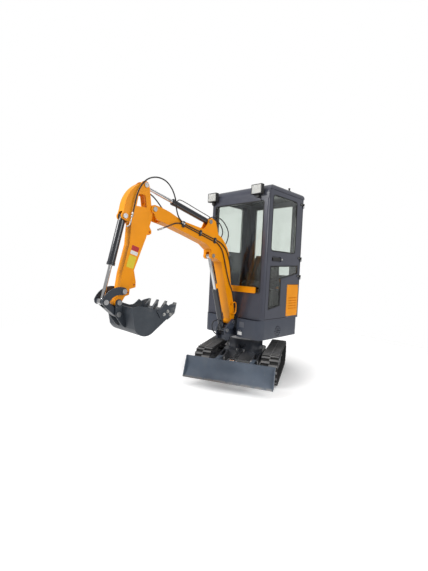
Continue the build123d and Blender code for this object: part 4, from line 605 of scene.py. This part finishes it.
# Door: a keyed zinc lock barrel beside the pull, and the small bolts that hold the hinge leaves. The
# covers on both sides of the body are held by four bolts each.
spun("door_lock", [
    (0, 0.0065), (0.006, 0.0065), (0.0066, 0.0045), (0.0105, 0.0045), (0.0115, 0.003), (0.0115, 0),
], (0.4299, 0.052, 1.380), (1, 0, 0), zinc, "door")
leaf_bolts = [((0.4345, y, z + 0.014), (1, 0, 0)) for z in (1.18, 1.405, 2.08) for y in (0.428, 0.452)]
bolts("hinge_bolts", leaf_bolts, 0.0052, "door")
COVER_FACE = 0.4303
for name, hand in (("cover_bolts", 1), ("cover_bolts_right", -1)):
    spots = [((hand * COVER_FACE, y, z), (hand, 0, 0)) for y in (0.214, 0.452) for z in (0.72, 1.066)]
    bolts(name, spots, 0.005, "upper")

# Rams: welded barrels in gloss black enamel, and rods of ground steel plated with hard chrome, with
# fine rings where the seals wipe them.
ram_enamel = enamel("ram_enamel", (0.018, 0.021, 0.028), 0.3, 0.2, 0.4, 0.6)
give(ram_enamel, "boom_ram_barrel", "arm_ram_barrel", "bucket_ram_barrel", "blade_ram_barrel")
chrome = Finish("chrome_rod", {"Metallic": 1.0, "Specular IOR Level": 0.5})
haze = chrome.noise(14, 5.0)
lines = chrome.noise(300, 3.0, (1, 0.1, 0.1))
chrome.feed("Base Color", chrome.mix(haze, (0.6, 0.6, 0.61, 1), (0.85, 0.85, 0.85, 1)))
chrome.feed("Roughness", 0.07 + haze.between(0.5, 0.8) * 0.18 + lines * 0.06)
chrome.relief(lines, 0.05, 0.0003)
give(chrome, "boom_ram_rod", "arm_ram_rod", "bucket_ram_rod", "blade_ram_rod")

# Swing post, rockers, link and bucket: cast and welded steel in slate enamel, darker on the linkage.
# The bucket is rubbed to steel at its teeth and lip, and the soil has scored its shell. Bolts hold
# its side cutters.
give(slate, "swing_post")
linkage = enamel("linkage_enamel", (0.032, 0.04, 0.054), 0.4, 0.34, 0.8, 0.2)
give(linkage, "rockers", "link")
bucket_even = {"Specular IOR Level": 0.5, "Coat Weight": 0.1, "Coat Roughness": 0.25}
bucket_enamel = Finish("bucket_enamel", bucket_even)
fore = bucket_enamel.axis("Y")
score = bucket_enamel.noise(34, 6.0, (1, 0.25, 1))
cloud = bucket_enamel.noise(7, 6.0)
rubbed = fore.between(-1.46, -1.385) * score.between(0.4, 0.6) * 0.8 + score.between(0.7, 0.74) * 0.35
shade = bucket_enamel.mix(cloud.between(0.3, 0.7), (0.03, 0.038, 0.05, 1), (0.045, 0.056, 0.07, 1))
soiled = bucket_enamel.mix((cloud * 0.6 + score * 0.4).between(0.5, 0.75) * 0.2, shade, DUST)
bucket_enamel.feed("Base Color", bucket_enamel.mix(rubbed, soiled, (0.36, 0.36, 0.35, 1)))
bucket_enamel.feed("Metallic", rubbed * 0.8)
bucket_enamel.feed("Roughness", 0.4 + cloud * 0.16 - rubbed * 0.1)
bucket_enamel.relief(bucket_enamel.noise(320, 3.0) - rubbed * 2.0, 0.15, 0.0007)
give(bucket_enamel, "bucket")
CUTTER_FACE = 0.2203
cutter_spots = []
for hand in (1, -1):
    for forward, height in ((1.480, 0.830), (1.520, 0.805), (1.450, 0.800)):
        cutter_spots.append(((hand * CUTTER_FACE, -forward, height), (hand, 0, 0)))
bolts("cutter_bolts", cutter_spots, 0.0115, "bucket")


# Arm: three blank films of self-adhesive vinyl in red, white and yellow, stuck on its left side one
# under the other along its length.
def coloured_film(name, faded, full):
    """Glossy printed film in one colour, which is a little faded in patches."""
    film = Finish(name, {"Specular IOR Level": 0.5, "Coat Weight": 0.5})
    film.feed("Base Color", film.mix(film.noise(50, 5.0), faded, full))
    film.feed("Roughness", 0.3 + film.noise(20, 3.0) * 0.15)
    return film


red_film = coloured_film("red_film", (0.42, 0.008, 0.012, 1), (0.56, 0.02, 0.02, 1))
yellow_film = coloured_film("yellow_film", (0.72, 0.55, 0.01, 1), (0.86, 0.68, 0.03, 1))
ARM_ALONG = (0, 0.265, 0.964)
ARM_ACROSS = (0, 0.964, -0.265)
for film, name, forward, height, tall in (
    (red_film, "arm_label_red", 1.739, 1.381, 0.044),
    (label_film, "arm_label_white", 1.749, 1.341, 0.032),
    (yellow_film, "arm_label_yellow", 1.774, 1.262, 0.110),
):
    slab(name, (0.0451, -forward, height), 0.076, tall, 0.0006, 0.004, ARM_ACROSS, ARM_ALONG, film, "arm")

# Pipes and hoses. Two steel pipes run along the boom under clamps and go on as hoses round its back.
# Each hose ends in a crimped steel ferrule; the hoses that cross a joint are fixed meshes on no body.
hose_rubber = Finish("hose_rubber", {"Specular IOR Level": 0.4})
wrap = hose_rubber.noise(160, 3.0)
hose_rubber.feed("Base Color", hose_rubber.mix(wrap, (0.008, 0.008, 0.009, 1), (0.024, 0.024, 0.024, 1)))
hose_rubber.feed("Roughness", 0.36 + wrap * 0.22)
hose_rubber.relief(wrap, 0.2, 0.0005)
pipe_enamel = enamel("pipe_enamel", (0.012, 0.012, 0.013), 0.2, 0.3, 0.5, 0.3)


def read_line(name, route):
    """The points of the same curve with no section, in order."""
    thread = stand(name, smooth_line(name, route, 0.0))
    line = [vertex.co.copy() for vertex in plain_mesh(thread).vertices]
    bpy.data.objects.remove(thread)
    return line


def hose(name, route, radius):
    """Free hose between two parts that a joint joins: one fixed mesh swept along its route in hose rubber, on
    no body, which does not bend.
    """
    line = read_line(name, route)
    mesh = swept(name, route, radius)
    mesh.materials.clear()
    mesh.materials.append(hose_rubber.material)
    piece = stand(name, mesh)
    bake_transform(piece)


def ferrule(name, base, way, radius, body):
    """Crimped sleeve with a hexagon nut's collar, from base along the hose."""
    shares = ((0, -0.004), (1.5, -0.004), (1.75, 0.0), (1.75, 0.008), (1.3, 0.010), (1.3, 0.014),
              (1.5, 0.016), (1.5, 0.036), (1.15, 0.040), (0, 0.040))
    profile = [(radius * share, far) for share, far in shares]
    spun(name, profile, base, way, zinc, body, 16)


def route_at(x, points):
    """Points given as (forward, height) in millimetres, all at x."""
    return [(x, -forward / 1000, height / 1000) for forward, height in points]


PIPE_SIDE = 0.0665
PIPE_RADIUS = 0.0055
HOSE_RADIUS = 0.006
tube("boom_pipe_upper", route_at(PIPE_SIDE, [(1236, 1684), (1160, 1662), (733, 1556), (690, 1545)]),
     PIPE_RADIUS, pipe_enamel, "boom")
tube("boom_pipe_lower", route_at(PIPE_SIDE, [(1236, 1664), (1160, 1642), (741, 1534), (700, 1522)]),
     PIPE_RADIUS, pipe_enamel, "boom")
UP_LEG = [(469, 1397), (403, 1014), (336, 800), (314, 730), (308, 680), (308, 625)]
hose("boom_hose_upper", [
    (PIPE_SIDE, -0.690, 1.545), (PIPE_SIDE, -0.640, 1.532), (0.0700, -0.560, 1.480), (0.0700, -0.505, 1.400),
    (0.0600, -0.455, 1.300), *route_at(0.036, UP_LEG[1:]),
], HOSE_RADIUS)
hose("boom_hose_lower", [
    (PIPE_SIDE, -0.700, 1.522), (PIPE_SIDE, -0.660, 1.505), (0.0700, -0.595, 1.430), (0.0700, -0.530, 1.240),
    (0.0700, -0.463, 1.080), (0.0660, -0.380, 0.960), *route_at(0.050, UP_LEG[2:]),
], HOSE_RADIUS)
back_bows = ((-0.012, [(556, 1575), (505, 1500)]), (0.014, [(548, 1570), (500, 1490)]))
for number, (x, bow) in enumerate(back_bows):
    hose(f"back_hose_{number}", route_at(x, bow + UP_LEG), HOSE_RADIUS)

# Fittings at the swing post: each hose from the boom ends in a crimped ferrule on a bent zinc elbow,
# which turns forward into the post.
for number, x in enumerate((0.050, 0.036, 0.014, -0.012)):
    tube(f"post_elbow_{number}", [
        (x, -0.308, 0.628), (x, -0.308, 0.585), (x * 0.9, -0.314, 0.560), (x * 0.7, -0.352, 0.556),
    ], 0.005, zinc, "swing_post")
    ferrule(f"post_ferrule_{number}", (x, -0.308, 0.600), (0, 0, 1), HOSE_RADIUS, "swing_post")

# Hoses of the arm's ram: the two bows behind the boom's shoulder, from the barrel's foot down to the
# back of the boom.
hose("ram_hose_a", [
    (-0.010, -0.775, 1.785), (0.010, -0.735, 1.792), (0.045, -0.680, 1.770), (0.052, -0.615, 1.705),
    (0.045, -0.585, 1.640), (0.010, -0.572, 1.605), (-0.012, -0.556, 1.575),
], HOSE_RADIUS)
hose("ram_hose_b", [
    (0.018, -0.775, 1.792), (0.020, -0.730, 1.812), (0.040, -0.640, 1.806), (0.045, -0.555, 1.752),
    (0.045, -0.490, 1.672), (0.040, -0.486, 1.600), (0.030, -0.500, 1.545), (0.018, -0.512, 1.505),
    (0.014, -0.500, 1.480),
], HOSE_RADIUS)

# Hoses of the bucket's ram: one high loop over the boom's tip on each side, from the end of the pipe
# to a ferrule and a zinc elbow on the arm's head.
LOOP_SIDE = 0.0730
LOOP_RADIUS = 0.0065
near_loop = [(1205, 1669), (1270, 1705), (1309, 1790), (1317, 1871), (1360, 1966), (1430, 2030), (1510, 2052),
             (1590, 2043), (1665, 2008), (1722, 1943), (1758, 1867), (1776, 1791), (1788, 1726), (1800, 1672)]
hose("loop_hose", route_at(LOOP_SIDE, near_loop), LOOP_RADIUS)
ferrule("loop_ferrule_boom", (LOOP_SIDE, -1.196, 1.664), (0, -0.87, 0.48), LOOP_RADIUS, "boom")
ferrule("loop_ferrule_arm", (LOOP_SIDE, -1.804, 1.654), (0, 0.18, 0.98), LOOP_RADIUS, "arm")
far_loop = [(1205, 1669), (1250, 1690), (1310, 1750), (1391, 1827), (1461, 1888), (1525, 1924), (1600, 1935),
            (1680, 1908), (1740, 1840), (1778, 1755), (1800, 1672)]
hose("far_hose", route_at(-LOOP_SIDE, far_loop), LOOP_RADIUS)
ferrule("far_ferrule_boom", (-LOOP_SIDE, -1.196, 1.667), (0, -1, 0.18), LOOP_RADIUS, "boom")
ferrule("far_ferrule_arm", (-LOOP_SIDE, -1.804, 1.654), (0, 0.3, 0.95), LOOP_RADIUS, "arm")
for hand, name in ((1, "near"), (-1, "far")):
    tube(f"arm_elbow_{name}", [
        (hand * 0.073, -1.805, 1.660), (hand * 0.073, -1.812, 1.615), (hand * 0.070, -1.818, 1.585),
        (hand * 0.060, -1.826, 1.570), (hand * 0.040, -1.834, 1.565),
    ], 0.006, zinc, "arm")

# Line for a second tool: a free length of hose under the boom's tip, which ends in a turned zinc
# coupler with two grooves.
tube("aux_line", [
    (PIPE_SIDE, -1.218, 1.670), (0.070, -1.300, 1.665), (0.0750, -1.360, 1.640), (0.0750, -1.430, 1.608),
    (0.0750, -1.470, 1.592),
], HOSE_RADIUS, hose_rubber, "boom")
spun("aux_coupler", [
    (0, 0), (0.0085, 0), (0.0095, 0.004), (0.0095, 0.016), (0.0075, 0.018), (0.0075, 0.024),
    (0.0098, 0.026), (0.0098, 0.038), (0.0072, 0.040), (0.0072, 0.052), (0.0090, 0.054), (0.0090, 0.062),
    (0, 0.062),
], (0.0750, -1.465, 1.594), (0, -0.93, -0.37), zinc, "boom", 20)

# Pipe and hoses on the rams: a thin steel pipe over the arm's ram to the rod end of its barrel, and a
# short bow of hose on each side of the boom ram's foot, down to the swing post.
tube("ram_pipe", [
    (0.020, -0.800, 1.770), (0.040, -0.800, 1.790), (0.046, -0.830, 1.797), (0.046, -1.022, 1.846),
    (0.046, -1.215, 1.898), (0.044, -1.258, 1.900), (0.030, -1.272, 1.880), (0.012, -1.278, 1.868),
], 0.0045, pipe_enamel, "arm_ram_barrel")
hose("boom_ram_hose", [
    (0.036, -0.520, 0.640), (0.041, -0.560, 0.632), (0.041, -0.590, 0.590), (0.041, -0.572, 0.530),
    (0.041, -0.520, 0.490), (0.041, -0.470, 0.480), (0.041, -0.436, 0.480),
], 0.0055)
hose("boom_ram_hose_far", [
    (-0.036, -0.520, 0.640), (-0.041, -0.565, 0.640), (-0.041, -0.605, 0.595), (-0.041, -0.590, 0.525),
    (-0.041, -0.530, 0.475), (-0.041, -0.475, 0.465), (-0.041, -0.436, 0.465),
], 0.0055)

# Pipe clamps: moulded blocks that hold both pipes on the boom's side, each with one bolt through it.
# They follow the boom's slope.
for name, forward, height in (("front", 1.201, 1.664), ("rear", 0.733, 1.546), ("middle", 0.960, 1.603)):
    slab(f"pipe_clamp_{name}", (0.0600, -forward, height), 0.030, 0.062, 0.0145, 0.006, (0, 0.97, -0.24),
         (0, 0.24, 0.97), linkage, "boom")
    bolts(f"clamp_bolt_{name}", [((0.0745, -forward, height), (1, 0, 0))], 0.006, "boom")

# Guard hoop: a bent round bar in orange, welded beside the boom's foot, which keeps the hoses off the
# body. It stays clear of the front panel when the boom swings fully.
tube("hose_guard", [
    (0.052, -0.410, 0.812), (0.086, -0.410, 0.825), (0.095, -0.408, 0.850), (0.095, -0.376, 0.862),
    (0.095, -0.350, 0.842), (0.095, -0.347, 0.790), (0.095, -0.350, 0.740), (0.095, -0.366, 0.722),
    (0.086, -0.374, 0.720), (0.046, -0.374, 0.720),
], 0.006, orange, "boom")

# Seat: a pan and a back of foam in black grained vinyl. Each starts as a block and is blown up a
# little by cloth pressure, as foam fills its cover.
vinyl = Finish("seat_vinyl", {"Specular IOR Level": 0.4})
grain = vinyl.node("ShaderNodeTexVoronoi", {}, {"Vector": vinyl.place, "Scale": 420.0})
shine = vinyl.noise(9, 4.0)
vinyl.feed("Base Color", vinyl.mix(shine, (0.014, 0.014, 0.015, 1), (0.03, 0.03, 0.031, 1)))
vinyl.feed("Roughness", 0.42 + shine * 0.2)
vinyl.relief(grain, 0.3, 0.0008)


ROUNDING = 0.022
CLOTH_MESH = 0.006
FOAM_RISE = 0.010
FOAM_STEPS = 20


def cushion(name, corners, half):
    """Foam pad between the four side-view corners (forward, height), half wide to each side."""
    shape = bmesh.new()
    sides = [[shape.verts.new((x, -forward, height)) for forward, height in corners] for x in (half, -half)]
    shape.faces.new(sides[0])
    shape.faces.new(reversed(sides[1]))
    for number in range(4):
        follow = (number + 1) % 4
        shape.faces.new((sides[0][follow], sides[0][number], sides[1][number], sides[1][follow]))
    bmesh.ops.recalc_face_normals(shape, faces=shape.faces)
    bmesh.ops.bevel(shape, geom=shape.edges[:], offset=ROUNDING, segments=4, affect="EDGES")
    pad = stand(name, as_mesh(name, shape))
    remesh = pad.modifiers.new("even", "REMESH")
    remesh.mode = "VOXEL"
    remesh.voxel_size = CLOTH_MESH
    start = plain_mesh(pad)
    pad.modifiers.clear()
    pad.data = start
    cloth = pad.modifiers.new("foam", "CLOTH")
    cloth.settings.use_pressure = True
    cloth.settings.uniform_pressure_force = 4.0
    cloth.settings.effector_weights.gravity = 0.0
    for step in range(1, FOAM_STEPS + 1):
        bpy.context.scene.frame_set(step)
    blown = plain_mesh(pad)
    for vertex, rest in zip(blown.vertices, start.vertices):
        moved = vertex.co - rest.co
        vertex.co = rest.co + moved * min(1.0, FOAM_RISE / max(moved.length, 1e-9))
    pad.modifiers.clear()
    pad.data = blown
    bpy.context.scene.frame_set(1)
    refine = pad.modifiers.new("smooth", "SUBSURF")
    refine.levels = refine.render_levels = 1
    done = plain_mesh(pad)
    pad.modifiers.clear()
    pad.data = done
    for face in done.polygons:
        face.use_smooth = True
    done.materials.clear()
    done.materials.append(vinyl.material)
    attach(pad, "upper")
    return pad


seat_pan = cushion("seat_pan", [(-0.072, 1.022), (-0.092, 1.100), (-0.330, 1.082), (-0.372, 1.022)], 0.215)
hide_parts("seat")
cushion("seat_back", [(-0.280, 1.112), (-0.352, 1.435), (-0.398, 1.465), (-0.400, 1.112)], 0.205)

# Joysticks: moulded rubber bellows with six folds at the foot of each lever, which narrow towards the
# stick.
folds = [(0.0, 0.0)]
for number in range(6):
    folds.append((0.036 - number * 0.0045, 0.002 + number * 0.013))
    folds.append((0.028 - number * 0.0038, 0.009 + number * 0.013))
folds += [(0.010, 0.083), (0.0, 0.084)]
for hand, name in ((1, "left"), (-1, "right")):
    spun(f"stick_bellows_{name}", folds, (hand * 0.290, -0.020, 1.000), (0, 0, 1), rubber,
         "upper", 24)
